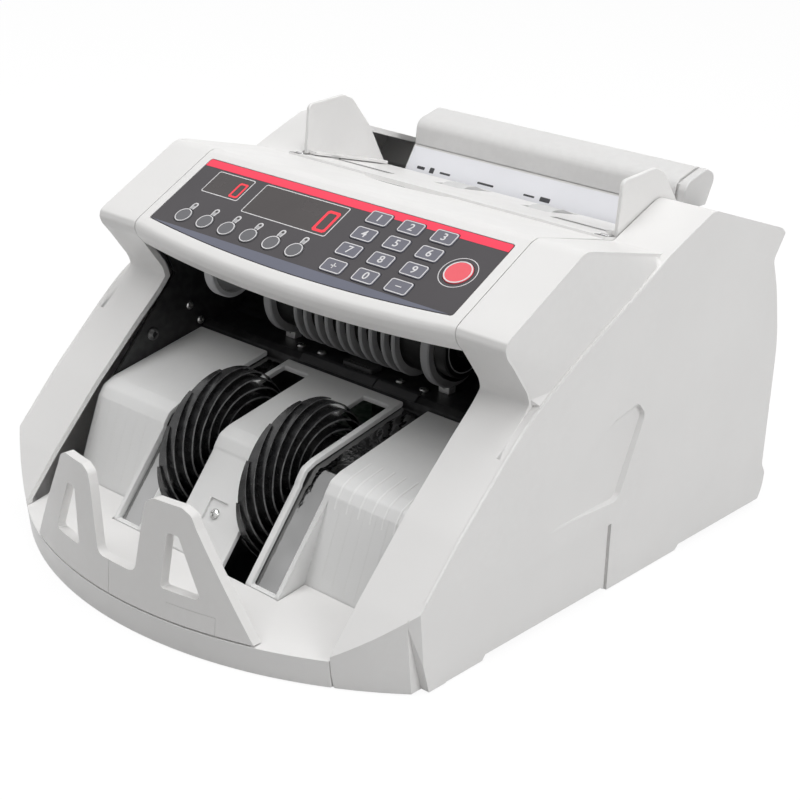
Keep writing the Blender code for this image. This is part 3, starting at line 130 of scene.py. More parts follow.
def rectangle(x: Point, y: Point) -> list[Point]:
    """A rectangle between two pairs of limits, counter-clockwise."""
    return [(x[0], y[0]), (x[1], y[0]), (x[1], y[1]), (x[0], y[1])]


def spread(middle: float, size: float) -> Point:
    """The two limits of a size about its middle."""
    return (middle - size / 2, middle + size / 2)


def stations(low: float, high: float, count: int) -> list[float]:
    """Evenly spaced values from low to high, count steps apart."""
    return [low + (high - low) * step / count for step in range(count + 1)]


def signed_area(points: Sequence[Point]) -> float:
    """The area of a closed outline, negative where it runs clockwise."""
    pairs = zip(points, [*points[1:], points[0]])
    return sum(a[0] * b[1] - b[0] * a[1] for a, b in pairs) / 2


def offset_line(points: Sequence[Point], distance: float) -> list[Point]:
    """The open line moved sideways.

    Args:
        points: The line's points.
        distance: How far it moves, to the right of its direction of travel.

    Returns:
        The moved points.
    """
    normals = []
    for start, end in zip(points, points[1:]):
        along = (Vector(end) - Vector(start)).normalized()
        normals.append(Vector((along.y, -along.x)))
    moved = []
    for index, point in enumerate(points):
        before = normals[max(index - 1, 0)]
        after = normals[min(index, len(normals) - 1)]
        shift = (before + after) / (1 + before.dot(after))
        moved.append((point[0] + distance * shift.x, point[1] + distance * shift.y))
    return moved


def inset(points: Sequence[Point], distance: float) -> list[Point]:
    """The closed outline drawn in all round by a distance."""
    turn = -1 if signed_area(points) > 0 else 1
    return offset_line([points[-1], *points, points[0]], turn * distance)[1:-1]


def fillet(
    points: Sequence[Point], radius: float, only: Iterable[int] | None = None, steps: int = 4, closed: bool = True
) -> list[Point]:
    """The outline with its corners turned into arcs.

    Args:
        points: The outline's corners.
        radius: The arcs' radius, less where an edge is too short for it.
        only: The indexes of the corners to round, or None for all of them.
        steps: Steps in each arc.
        closed: Whether the last point joins the first.

    Returns:
        The rounded outline.
    """
    count = len(points)
    chosen = {index % count for index in (range(count) if only is None else only)}
    made: list[Point] = []
    for index, point in enumerate(points):
        here = Vector(point)
        at_end = not closed and index in (0, count - 1)
        before = Vector(points[index - 1]) - here
        after = Vector(points[(index + 1) % count]) - here
        bend = math.pi - before.angle(after)
        if index not in chosen or at_end or bend < LEAST_BEND:
            made.append(point)
            continue
        reach = min(radius * math.tan(bend / 2), EDGE_SHARE * before.length, EDGE_SHARE * after.length)
        arc = reach / math.tan(bend / 2)
        start = here + before.normalized() * reach
        centre = here + (before.normalized() + after.normalized()).normalized() * math.hypot(arc, reach)
        spoke = start - centre
        sweep = bend if before.cross(after) < 0 else -bend
        for step in range(steps + 1):
            turned_spoke = spoke.copy()
            turned_spoke.rotate(Matrix.Rotation(sweep * step / steps, 2))
            made.append(tuple(centre + turned_spoke))
    return made


def rounded_rectangle(middle: Point, size: Point, corner: float, steps: int = 5) -> list[Point]:
    """A rectangle with round corners about its middle."""
    return fillet(rectangle(spread(middle[0], size[0]), spread(middle[1], size[1])), corner, steps=steps)


# Solids


def loft(sections: Sequence[Sequence[Triple]], endless: bool = False) -> Shape:
    """A closed solid through sections of equal length.

    Args:
        sections: Closed rings of points, one after the other.
        endless: Whether the last ring joins the first, in place of a face on each.

    Returns:
        The solid.
    """
    built = bmesh.new()
    rings = [[built.verts.new(point) for point in section] for section in sections]
    if not endless:
        built.faces.new(rings[0])
        built.faces.new(rings[-1])
    count = len(rings[0])
    for first, second in zip(rings, [*rings[1:], rings[0]] if endless else rings[1:]):
        for index in range(count):
            after = (index + 1) % count
            built.faces.new((first[index], first[after], second[after], second[index]))
    bmesh.ops.recalc_face_normals(built, faces=built.faces)
    return built


def prism(axis: Axis, points: Sequence[Point], low: float, high: float, ease: float = 0.0) -> Shape:
    """An outline carried along an axis.

    Args:
        axis: The direction of carrying.
        points: The outline.
        low: Where it starts.
        high: Where it ends.
        ease: The radius of the rounding round both end faces.

    Returns:
        The solid.
    """
    if not ease:
        return loft([[axis.point(point, along) for point in points] for along in (low, high)])
    way = 1 if high > low else -1
    sections = []
    for step in range(EASE_STEPS + 1):
        angle = math.pi / 2 * step / EASE_STEPS
        drawn = inset(points, ease * (1 - math.sin(angle)))
        sections.append((low + way * ease * (1 - math.cos(angle)), drawn))
    for along, drawn in sections[::-1]:
        sections.append((low + high - along, drawn))
    return loft([[axis.point(point, along) for point in drawn] for along, drawn in sections])


def block(x: Point, y: Point, z: Point, ease: float = 0.0) -> Shape:
    """A box between three pairs of limits, its edges rounded by ease."""
    outline = fillet(rectangle(x, y), ease * 1.2) if ease else rectangle(x, y)
    return prism(Axis.Z, outline, *z, ease)


def turned(profile: Sequence[Point], sides: int, centre: Point = (0.0, 0.0)) -> Shape:
    """A solid turned about a line along X.

    Args:
        profile: (x, radius) stations from one end to the other.
        sides: Steps of the turn.
        centre: The line's (y, z).

    Returns:
        The solid.
    """
    return loft([[(x, y, z) for y, z in circle(radius, sides, centre)] for x, radius in profile])


def tube(points: Sequence[Vector], radius: float, sides: int) -> Shape:
    """A round rod along a path of points.

    Args:
        points: The path.
        radius: The rod's radius.
        sides: Steps round it.

    Returns:
        The solid.
    """
    sections = []
    for index, point in enumerate(points):
        along = points[min(index + 1, len(points) - 1)] - points[max(index - 1, 0)]
        turn = along.to_track_quat("Z", "Y").to_matrix()
        sections.append([tuple(point + turn @ Vector((*spoke, 0.0))) for spoke in circle(radius, sides)])
    return loft(sections)


def frame_ring(outer: Sequence[Point], inner: Sequence[Point], low: float, high: float) -> Shape:
    """A flat ring between two outlines of equal length, from low to high along Z.

    Args:
        outer: The outer outline.
        inner: The inner outline.
        low: Its underside.
        high: Its top.

    Returns:
        The ring.
    """
    loops = ((outer, low), (outer, high), (inner, high), (inner, low))
    return loft([[(x, y, z) for x, y in points] for points, z in loops], endless=True)


def gathered(shapes: Iterable[Shape]) -> Shape:
    """Several shapes as one, not fused.

    Args:
        shapes: The shapes, which are used up.

    Returns:
        The whole.
    """
    whole = bmesh.new()
    for shape in shapes:
        carrier = bpy.data.meshes.new("carrier")
        shape.to_mesh(carrier)
        shape.free()
        whole.from_mesh(carrier)
        bpy.data.meshes.remove(carrier)
    return whole


def lettering(text: str, size: float, depth: float) -> Shape:
    """Plain figures as a thin solid, centred on the origin of the XY plane.

    Args:
        text: The figures.
        size: Their type size.
        depth: Their thickness.

    Returns:
        The solid.
    """
    curve = bpy.data.curves.new("figures", "FONT")
    curve.body = text
    curve.size = size
    curve.extrude = depth / 2
    curve.offset = size * 0.012
    curve.align_x = "CENTER"
    curve.align_y = "CENTER"
    carrier = bpy.data.objects.new("figures", curve)
    bpy.context.scene.collection.objects.link(carrier)
    graph = bpy.context.evaluated_depsgraph_get()
    mesh = bpy.data.meshes.new_from_object(carrier.evaluated_get(graph))
    built = bmesh.new()
    built.from_mesh(mesh)
    bmesh.ops.remove_doubles(built, verts=built.verts, dist=size * 0.0005)
    bpy.data.objects.remove(carrier)
    bpy.data.curves.remove(curve)
    bpy.data.meshes.remove(mesh)
    return built


class Piece:
    """A visible piece of the machine, from its shape to its place on a body."""

    def __init__(self, name: str, shape: Shape) -> None:
        """Starts the piece from a shape, which it takes over.

        Args:
            name: Its name.
            shape: Its shape.
        """
        mesh = bpy.data.meshes.new(name)
        shape.to_mesh(mesh)
        shape.free()
        self.thing = bpy.data.objects.new(name, mesh)
        bpy.context.scene.collection.objects.link(self.thing)

    def _combine(self, shape: Shape, operation: str) -> None:
        """Runs one exact Boolean and keeps its result.

        Args:
            shape: The other shape, which is used up.
            operation: The Boolean's kind.
        """
        tool = Piece("tool", shape).thing
        modifier = self.thing.modifiers.new(operation, "BOOLEAN")
        modifier.operation = operation
        modifier.solver = "EXACT"
        modifier.object = tool
        graph = bpy.context.evaluated_depsgraph_get()
        result = bpy.data.meshes.new_from_object(self.thing.evaluated_get(graph))
        self.thing.modifiers.clear()
        before, used = self.thing.data, tool.data
        self.thing.data = result
        bpy.data.objects.remove(tool)
        bpy.data.meshes.remove(before)
        bpy.data.meshes.remove(used)

    def cut(self, *shapes: Shape) -> Piece:
        """Takes shapes away.

        Args:
            shapes: The shapes, used up one by one.

        Returns:
            The piece.
        """
        for shape in shapes:
            self._combine(shape, "DIFFERENCE")
        return self

    def join(self, *shapes: Shape) -> Piece:
        """Fuses shapes to the piece.

        Args:
            shapes: The shapes, used up one by one.

        Returns:
            The piece.
        """
        for shape in shapes:
            self._combine(shape, "UNION")
        return self

    def keep_inside(self, shape: Shape) -> Piece:
        """Keeps only what lies inside a shape."""
        self._combine(shape, "INTERSECT")
        return self

    def soften(self, width: float, segments: int = 2, where: EdgeTest | None = None) -> Piece:
        """Rounds the sharp edges.

        Args:
            width: The rounding's width.
            segments: Steps in the rounding.
            where: Which of those edges are rounded, or None for all.

        Returns:
            The piece.
        """
        built = bmesh.new()
        built.from_mesh(self.thing.data)
        bmesh.ops.remove_doubles(built, verts=built.verts, dist=MERGE)
        bmesh.ops.dissolve_limit(built, angle_limit=FLAT_BEND, verts=built.verts, edges=built.edges)
        sharp = [e for e in built.edges if len(e.link_faces) == 2 and e.calc_face_angle(0) > ROUNDED_BEND]
        edges = [edge for edge in sharp if where is None or where(edge)]
        bmesh.ops.bevel(
            built, geom=edges, offset=width, offset_type="OFFSET", segments=segments, profile=0.5,
            affect="EDGES", clamp_overlap=True, miter_outer="ARC", miter_inner="SHARP", spread=width / 2,
        )
        built.to_mesh(self.thing.data)
        built.free()
        return self

    def side_faces(self, coat: Finish) -> Piece:
        """Gives the faces that look along X a second finish; on the wheels it is a lighter grey that paints their
        highlight.

        Args:
            coat: Their finish.

        Returns:
            The piece.
        """
        self.thing.data.materials.append(coat.material())
        for face in self.thing.data.polygons:
            if abs(face.normal.x) > SIDEWAYS:
                face.material_index = 1
        return self

    def split(self, place: Triple, normal: Triple) -> Piece:
        """Divides the faces along a plane, which keeps their shading even.

        Args:
            place: A point of the plane.
            normal: The plane's normal.

        Returns:
            The piece.
        """
        built = bmesh.new()
        built.from_mesh(self.thing.data)
        whole = [*built.verts, *built.edges, *built.faces]
        bmesh.ops.bisect_plane(built, geom=whole, dist=MERGE, plane_co=place, plane_no=normal)
        built.to_mesh(self.thing.data)
        built.free()
        return self

    def move(self, matrix: Matrix) -> Piece:
        """Carries the mesh through a matrix."""
        self.thing.data.transform(matrix)
        return self

    def finish(self, coat: Finish, body: str = "housing", replaced: Iterable[str] = ()) -> Piece:
        """Dresses the piece and lets it ride.

        Args:
            coat: Its finish.
            body: The body that it rides on.
            replaced: The frame's nodes that it stands for.

        Returns:
            The piece.
        """
        dress(self.thing, coat)
        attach(self.thing, body)
        nodes = list(replaced)
        if nodes:
            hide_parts(*nodes)
        LOG.info("%s rides on %s", self.thing.name, body)
        return self


def dress(thing: bpy.types.Object, coat: Finish) -> None:
    """Gives a mesh its material and even shading.

    Args:
        thing: The object.
        coat: Its finish.
    """
    mesh = thing.data
    mesh.materials.clear()
    mesh.materials.append(coat.material())
    mesh.shade_smooth()
    mesh.set_sharp_from_angle(angle=SHARP_BEND)
    weighted = thing.modifiers.new("even_shading", "WEIGHTED_NORMAL")
    weighted.keep_sharp = True
    weighted.weight = 80


def smooth_but_sharp() -> bpy.types.NodeTree:
    """The modifier tree that shades all but the sharp edges smooth, built once.

    Returns:
        The tree.
    """
    name = "smooth_but_sharp"
    if name in bpy.data.node_groups:
        return bpy.data.node_groups[name]
    tree = bpy.data.node_groups.new(name, "GeometryNodeTree")
    for way in ("INPUT", "OUTPUT"):
        tree.interface.new_socket("Geometry", in_out=way, socket_type="NodeSocketGeometry")
    source, target = tree.nodes.new("NodeGroupInput"), tree.nodes.new("NodeGroupOutput")
    faces, edges = (tree.nodes.new("GeometryNodeSetShadeSmooth") for _ in range(2))
    edges.domain = "EDGE"
    edges.inputs["Shade Smooth"].default_value = False
    angle = tree.nodes.new("GeometryNodeInputMeshEdgeAngle")
    sharp = tree.nodes.new("FunctionNodeCompare")
    sharp.operation = "GREATER_THAN"
    sharp.inputs[1].default_value = SHARP_BEND
    tree.links.new(angle.outputs[0], sharp.inputs[0])
    tree.links.new(sharp.outputs[0], edges.inputs["Selection"])
    tree.links.new(source.outputs[0], faces.inputs[0])
    tree.links.new(faces.outputs[0], edges.inputs[0])
    tree.links.new(edges.outputs[0], target.inputs[0])
    return tree


def keep(thing: bpy.types.Object, coat: Finish, ease: float = 0.0) -> None:
    """Dresses one of the frame's own parts, which keeps its shape.

    Args:
        thing: The part.
        coat: Its finish.
        ease: The width of the rounding on its sharp edges.
    """
    thing.data.materials.clear()
    thing.data.materials.append(coat.material())
    if ease:
        rounding = thing.modifiers.new("edges", "BEVEL")
        rounding.width = ease
        rounding.segments = 2
        rounding.limit_method = "ANGLE"
        rounding.angle_limit = ROUNDED_BEND
    thing.modifiers.new("shading", "NODES").node_group = smooth_but_sharp()
    weighted = thing.modifiers.new("even_shading", "WEIGHTED_NORMAL")
    weighted.keep_sharp = True


# Shader effects and finishes


class Graph:
    """A node tree that is being wired."""

    def __init__(self, tree: bpy.types.NodeTree) -> None:
        """Starts on a tree."""
        self.tree = tree

    def node(self, kind: str, inputs: dict[str | int, object] | None = None, **settings: object) -> bpy.types.Node:
        """Adds a node.

        Args:
            kind: Its type, without the ShaderNode prefix.
            inputs: Values or sockets for its inputs, by name or number.
            settings: Its own settings.

        Returns:
            The node.
        """
        made = self.tree.nodes.new("ShaderNode" + kind)
        for name, value in settings.items():
            setattr(made, name, value)
        for key, value in (inputs or {}).items():
            if isinstance(value, Socket):
                self.tree.links.new(value, made.inputs[key])
            else:
                made.inputs[key].default_value = value
        return made

    def maths(self, operation: str, first: object, second: object) -> Socket:
        """The result of one sum on two values or sockets."""
        return self.node("Math", {0: first, 1: second}, operation=operation).outputs[0]

    def spanned(self, value: object, start: Point, end: Point = (0.0, 1.0)) -> Socket:
        """A value carried from one range to another and held there."""
        limits = {"Value": value, "From Min": start[0], "From Max": start[1], "To Min": end[0], "To Max": end[1]}
        return self.node("MapRange", limits).outputs["Result"]

    def mixed(self, share: object, first: object, second: object) -> Socket:
        """A colour between two, by a share of the second."""
        return self.node("Mix", {0: share, 6: first, 7: second}, data_type="RGBA").outputs[2]

    def noise(self, scale: object, detail: float, place: object) -> Socket:
        """Even noise at a scale."""
        return self.node("TexNoise", {"Vector": place, "Scale": scale, "Detail": detail}).outputs[0]

    def where(self) -> Socket:
        """The place on the piece, which moves with it."""
        return self.node("TexCoord").outputs["Object"]


class Effect(Enum):
    """The shader effects that finishes share."""

    GRAIN = "moulded_grain"
    EDGES = "worn_edges"
    DUST = "settled_dust"
    DRAWN = "drawn_lines"

    def tree(self) -> bpy.types.NodeTree:
        """The effect's node group, built once."""
        return bpy.data.node_groups.get(self.value) or EFFECT_MAKERS[self]()


def new_effect(
    effect: Effect, inputs: dict[str, float | Triple], outputs: Sequence[str]
) -> tuple[Graph, bpy.types.NodeInputs, bpy.types.NodeInputs]:
    """An empty effect with its named sockets.

    Args:
        effect: Which effect.
        inputs: Its inputs and their first values.
        outputs: Its outputs.

    Returns:
        The graph, the sockets that bring the inputs and those that take the outputs.
    """
    tree = bpy.data.node_groups.new(effect.value, "ShaderNodeTree")
    for name, value in inputs.items():
        kind = "NodeSocketVector" if isinstance(value, tuple) else "NodeSocketFloat"
        tree.interface.new_socket(name, in_out="INPUT", socket_type=kind).default_value = value
    for name in outputs:
        tree.interface.new_socket(name, in_out="OUTPUT", socket_type="NodeSocketFloat")
    source = tree.nodes.new("NodeGroupInput")
    target = tree.nodes.new("NodeGroupOutput")
    return Graph(tree), source.outputs, target.inputs


def grain_effect() -> bpy.types.NodeTree:
    """Fine moulded texture, and slow patches of tone and gloss.

    Returns:
        The group.
    """
    graph, given, wanted = new_effect(Effect.GRAIN, {"Fine": 1500.0, "Coarse": 16.0}, ("Height", "Tone", "Gloss"))
    place = graph.where()
    fine = graph.noise(given["Fine"], 3.0, place)
    pores = graph.noise(graph.maths("MULTIPLY", given["Fine"], 0.31), 1.0, place)
    height = graph.maths("MULTIPLY", fine, graph.spanned(pores, (0.3, 0.7), (0.5, 1.0)))
    tone = graph.spanned(graph.noise(given["Coarse"], 3.0, place), (0.32, 0.68))
    gloss = graph.spanned(graph.noise(graph.maths("MULTIPLY", given["Coarse"], 4.3), 4.0, place), (0.35, 0.65))
    for name, socket in (("Height", height), ("Tone", tone), ("Gloss", gloss)):
        graph.tree.links.new(socket, wanted[name])
    return graph.tree


def edges_effect() -> bpy.types.NodeTree:
    """Masks of the outer edges, lightened as wear and painted highlight, and of the hollows, darkened as grime and
    painted shade.

    Returns:
        The group.
    """
    graph, given, wanted = new_effect(Effect.EDGES, {"Broken": 260.0}, ("Rubbed", "Soiled"))
    sharpness = graph.node("NewGeometry").outputs["Pointiness"]
    broken = graph.spanned(graph.noise(given["Broken"], 4.0, graph.where()), (0.4, 0.62))
    rubbed = graph.maths("MULTIPLY", graph.spanned(sharpness, (0.51, 0.57)), broken)
    graph.tree.links.new(rubbed, wanted["Rubbed"])
    graph.tree.links.new(graph.spanned(sharpness, (0.49, 0.44)), wanted["Soiled"])
    return graph.tree


def dust_effect() -> bpy.types.NodeTree:
    """A mask of dust on faces that look upwards.

    Returns:
        The group.
    """
    graph, given, wanted = new_effect(Effect.DUST, {"Patches": 60.0}, ("Mask",))
    normal = graph.node("NewGeometry").outputs["Normal"]
    upward = graph.node("SeparateXYZ", {0: normal}).outputs["Z"]
    patches = graph.spanned(graph.noise(given["Patches"], 5.0, graph.where()), (0.42, 0.75))
    graph.tree.links.new(graph.maths("MULTIPLY", graph.spanned(upward, (0.5, 1.0)), patches), wanted["Mask"])
    return graph.tree


def drawn_effect() -> bpy.types.NodeTree:
    """Fine lines of drawn or brushed metal, long where the stretch is small.

    Returns:
        The group.
    """
    graph, given, wanted = new_effect(Effect.DRAWN, {"Stretch": (40.0, 2500.0, 2500.0)}, ("Height", "Gloss"))
    lines = graph.node("VectorMath", {0: graph.where(), 1: given["Stretch"]}, operation="MULTIPLY").outputs[0]
    drawn = graph.noise(1.0, 3.0, lines)
    graph.tree.links.new(drawn, wanted["Height"])
    graph.tree.links.new(graph.spanned(drawn, (0.3, 0.7)), wanted["Gloss"])
    return graph.tree


EFFECT_MAKERS: dict[Effect, Callable[[], bpy.types.NodeTree]] = {
    Effect.GRAIN: grain_effect,
    Effect.EDGES: edges_effect,
    Effect.DUST: dust_effect,
    Effect.DRAWN: drawn_effect,
}


# Hollows darken towards this share of the colour: painted shade, with grime.
GRIME_AND_SHADE_TONE = 0.35
DUST_COLOUR = (0.62, 0.60, 0.57, 1.0)
GLOSS_SWING: Point = (0.85, 1.15)


@dataclass(frozen=True)
class Finish:
    """A surface of the machine: what it is made of, how it has aged, and the painted highlight and shade on its edges
    and hollows.

    Attributes:
        name: The material's name.
        slot: The record's material slot; not used.
        colour: Its colour.
        roughness: Its roughness.
        metallic: 1 for bare metal.
        fine: Scale of the fine grain.
        depth: Height of the fine grain in metres.
        uneven: How far slow patches darken the colour.
        rubbed: How far outer edges take the edge colour, as wear and painted highlight.
        wear_and_highlight_colour: The colour of worn and lit edges.
        soiled: How far hollows darken, as grime and painted shade.
        dusty: How far dust pales the upper faces.
        drawn: Stretch of drawn lines, or None.
        glow: Strength of the light it gives off in its own colour.
        specular: Level of its plain reflections.
    """

    name: str
    slot: str
    colour: Colour
    roughness: float
    metallic: float = 0.0
    fine: float = 1500.0
    depth: float = 0.00002
    uneven: float = 0.05
    rubbed: float = 0.25
    wear_and_highlight_colour: Colour = (0.80, 0.80, 0.79)
    soiled: float = 0.25
    dusty: float = 0.04
    drawn: Triple | None = None
    glow: float = 0.0
    specular: float = 0.5

    def material(self) -> bpy.types.Material:
        """The finish's material, built once."""
        return bpy.data.materials.get(self.name) or self._build()

    def _build(self) -> bpy.types.Material:
        """Wires the material.

        Returns:
            The material.
        """
        made = bpy.data.materials.new(self.name)
        made.use_nodes = True
        graph = Graph(made.node_tree)
        shader = made.node_tree.nodes["Principled BSDF"]
        grain = self._effect(graph, Effect.GRAIN, {"Fine": self.fine})
        edges = self._effect(graph, Effect.EDGES, {})
        dust = self._effect(graph, Effect.DUST, {})
        colour = (*self.colour, 1.0)
        darker = (*(part * (1 - self.uneven) for part in self.colour), 1.0)
        toned = graph.mixed(grain["Tone"], colour, darker)
        # Hollows darken: painted shade, with grime.
        grime_and_shade_colour = tuple(part * GRIME_AND_SHADE_TONE for part in self.colour)
        toned = graph.mixed(graph.maths("MULTIPLY", edges["Soiled"], self.soiled), toned, (*grime_and_shade_colour, 1.0))
        # Outer edges lighten towards the edge colour: wear, and a painted highlight.
        toned = graph.mixed(graph.maths("MULTIPLY", edges["Rubbed"], self.rubbed), toned, (*self.wear_and_highlight_colour, 1.0))
        toned = graph.mixed(graph.maths("MULTIPLY", dust["Mask"], self.dusty), toned, DUST_COLOUR)
        graph.tree.links.new(toned, shader.inputs["Base Color"])
        gloss, height = grain["Gloss"], grain["Height"]
        if self.drawn:
            lines = self._effect(graph, Effect.DRAWN, {"Stretch": self.drawn})
            gloss, height = lines["Gloss"], lines["Height"]
        smooth, dull = (min(1.0, self.roughness * swing) for swing in GLOSS_SWING)
        graph.tree.links.new(graph.spanned(gloss, (0.0, 1.0), (smooth, dull)), shader.inputs["Roughness"])
        bump = graph.node("Bump", {"Height": height, "Distance": self.depth})
        graph.tree.links.new(bump.outputs["Normal"], shader.inputs["Normal"])
        shader.inputs["Metallic"].default_value = self.metallic
        shader.inputs["Specular IOR Level"].default_value = self.specular
        if self.glow:
            shader.inputs["Emission Color"].default_value = colour
            shader.inputs["Emission Strength"].default_value = self.glow
        made.diffuse_color = colour
        return made

    def _effect(self, graph: Graph, effect: Effect, inputs: dict[str, object]) -> bpy.types.NodeOutputs:
        """Places one shared effect and gives its outputs.

        Args:
            graph: The material's graph.
            effect: Which effect.
            inputs: Its values by name.

        Returns:
            Its outputs.
        """
        made = graph.node("Group")
        made.node_tree = effect.tree()
        for name, value in inputs.items():
            made.inputs[name].default_value = value
        return made.outputs


def printed(name: str, slot: str, colour: Colour, roughness: float = 0.40, **more: float) -> Finish:
    """A smooth printed or moulded surface with no worn or lit edges and no grime or painted shade in its hollows.

    Args:
        name: The material's name.
        slot: The record's material slot.
        colour: Its colour.
        roughness: Its roughness.
        more: Other fields of the finish.

    Returns:
        The finish.
    """
    plain = {"depth": 0.000004, "uneven": 0.08, "rubbed": 0.0, "soiled": 0.0, "dusty": 0.0, "specular": 0.22}
    return Finish(name, slot, colour, roughness, **(plain | more))


# White parts: no hollow darkening; their outer edges lighten slightly as a painted highlight.
CLEAN = {"uneven": 0.03, "soiled": 0.0, "rubbed": 0.08, "wear_and_highlight_colour": (0.88, 0.88, 0.875)}
SHELL_WHITE = Finish("shell_white", "shell", (0.775, 0.768, 0.760), 0.40, specular=0.35, **CLEAN)
# The shell's white plastic, darker for the note rest to paint the shade on its front face.
REST_SHADED_WHITE = Finish("rest_white_painted_shade", "shell", (0.680, 0.675, 0.670), 0.40, specular=0.30, **CLEAN)
STOP_WHITE = Finish("stop_white", "shell", (0.745, 0.737, 0.728), 0.40, specular=0.35, **CLEAN)
DECK_WHITE = Finish(
    "deck_white", "deck", (0.775, 0.775, 0.770), 0.38, fine=900.0, depth=0.00003, specular=0.35, **CLEAN
)
# The deck's plastic, lighter on its raised lines as a painted highlight.
DECK_LINE_HIGHLIGHT = Finish("deck_line_painted_highlight", "deck", (0.88, 0.88, 0.875), 0.35)
SATIN_BLACK = Finish(
    "satin_black", "steel_black", (0.010, 0.010, 0.011), 0.42, rubbed=0.15, wear_and_highlight_colour=(0.10, 0.10, 0.10), dusty=0.0
)
INNER_BLACK = Finish("inner_black", "black_plastic", (0.030, 0.030, 0.031), 0.60, wear_and_highlight_colour=(0.08, 0.08, 0.08))
POLISHED = Finish(
    "polished_strip", "steel_bright", (0.42, 0.42, 0.42), 0.07, 1.0, fine=95.0, depth=0.0006, uneven=0.5, rubbed=0.0,
    soiled=0.0, dusty=0.0,
)
BRIGHT_STEEL = Finish(
    "turned_steel", "steel_bright", (0.60, 0.60, 0.60), 0.22, 1.0, depth=0.00001, uneven=0.2, rubbed=0.0,
    drawn=(60.0, 2600.0, 2600.0),
)
ZINC = Finish("zinc_screw", "steel_bright", (0.62, 0.62, 0.61), 0.28, 1.0, uneven=0.25, rubbed=0.1)
WHEEL_RUBBER = Finish(
    "wheel_rubber", "rubber_black", (0.012, 0.012, 0.013), 0.22, depth=0.00001, wear_and_highlight_colour=(0.10, 0.10, 0.10),
    rubbed=0.2, dusty=0.03, specular=0.6,
)
# Lighter grey on the wheels' sideways faces and hubs: a painted highlight on the black rubber.
WHEEL_SIDE_HIGHLIGHT = Finish("wheel_side_painted_highlight", "rubber_black", (0.085, 0.085, 0.087), 0.30, rubbed=0.1, dusty=0.05)
BELT_RUBBER = Finish("belt_rubber", "rubber_black", (0.02, 0.02, 0.02), 0.60, wear_and_highlight_colour=(0.09, 0.09, 0.09), dusty=0.2)
FOOT_RUBBER = Finish("foot_rubber", "rubber_black", (0.022, 0.022, 0.023), 0.70, wear_and_highlight_colour=(0.10, 0.10, 0.10), dusty=0.2)
RING_GREY = Finish("ring_grey", "roller_grey", (0.30, 0.30, 0.305), 0.55, rubbed=0.0, dusty=0.05)
CORE_DARK = Finish("core_dark", "roller_grey", (0.004, 0.004, 0.004), 0.45, rubbed=0.0, dusty=0.0, specular=0.15)
TYRE_PALE = Finish("tyre_pale", "roller_grey", (0.60, 0.60, 0.60), 0.60, rubbed=0.0)
PULL_PALE = Finish("pull_pale", "roller_grey", (0.50, 0.50, 0.51), 0.45, rubbed=0.0, dusty=0.05)
FILM = printed("film_charcoal", "panel", (0.072, 0.067, 0.072), uneven=0.12)
FILM_BAND = printed("film_blue_grey", "panel", (0.150, 0.157, 0.200))
FILM_RED = printed("film_red", "panel", (0.96, 0.066, 0.120))
PRINT_WHITE = printed("print_white", "panel", (0.74, 0.73, 0.74))
NECK_GREY = printed("print_pale", "panel", (0.42, 0.42, 0.43))
WINDOW = printed("window_dark", "panel", (0.080, 0.072, 0.072), 0.25, uneven=0.2)
DIGIT_RED = printed("digit_red", "panel", (0.92, 0.055, 0.080), glow=0.12)
KEY_FILL = printed("key_charcoal", "key_charcoal", (0.088, 0.088, 0.112))
KEY_GREY = printed("key_grey", "key_charcoal", (0.150, 0.150, 0.160))
KEY_RED = printed("key_red", "key_red", (0.86, 0.045, 0.070))
SOCKET_BLACK = Finish("socket_black", "black_plastic", (0.018, 0.018, 0.018), 0.42, wear_and_highlight_colour=(0.1, 0.1, 0.1), dusty=0.08)
SWITCH_BLACK = Finish("switch_black", "black_plastic", (0.014, 0.014, 0.014), 0.28, wear_and_highlight_colour=(0.1, 0.1, 0.1))
BOARD_GREEN = Finish("board_green", "board", (0.010, 0.050, 0.022), 0.45, uneven=0.2, dusty=0.05)
CHIP_BLACK = Finish("chip_black", "black_plastic", (0.02, 0.02, 0.021), 0.45, uneven=0.2, dusty=0.1)
LABEL_PALE = printed("label_pale", "shell", (0.80, 0.805, 0.84), 0.45, uneven=0.03)
LABEL_MARK = printed("label_mark", "panel", (0.06, 0.06, 0.065), 0.5)
SENSOR_GREY = Finish("sensor_grey", "steel_bright", (0.66, 0.66, 0.65), 0.35, 0.5, uneven=0.2)
BAR_GREY = Finish("bar_grey", "black_plastic", (0.040, 0.040, 0.042), 0.40, rubbed=0.0, dusty=0.0)


# The machine's shared sizes


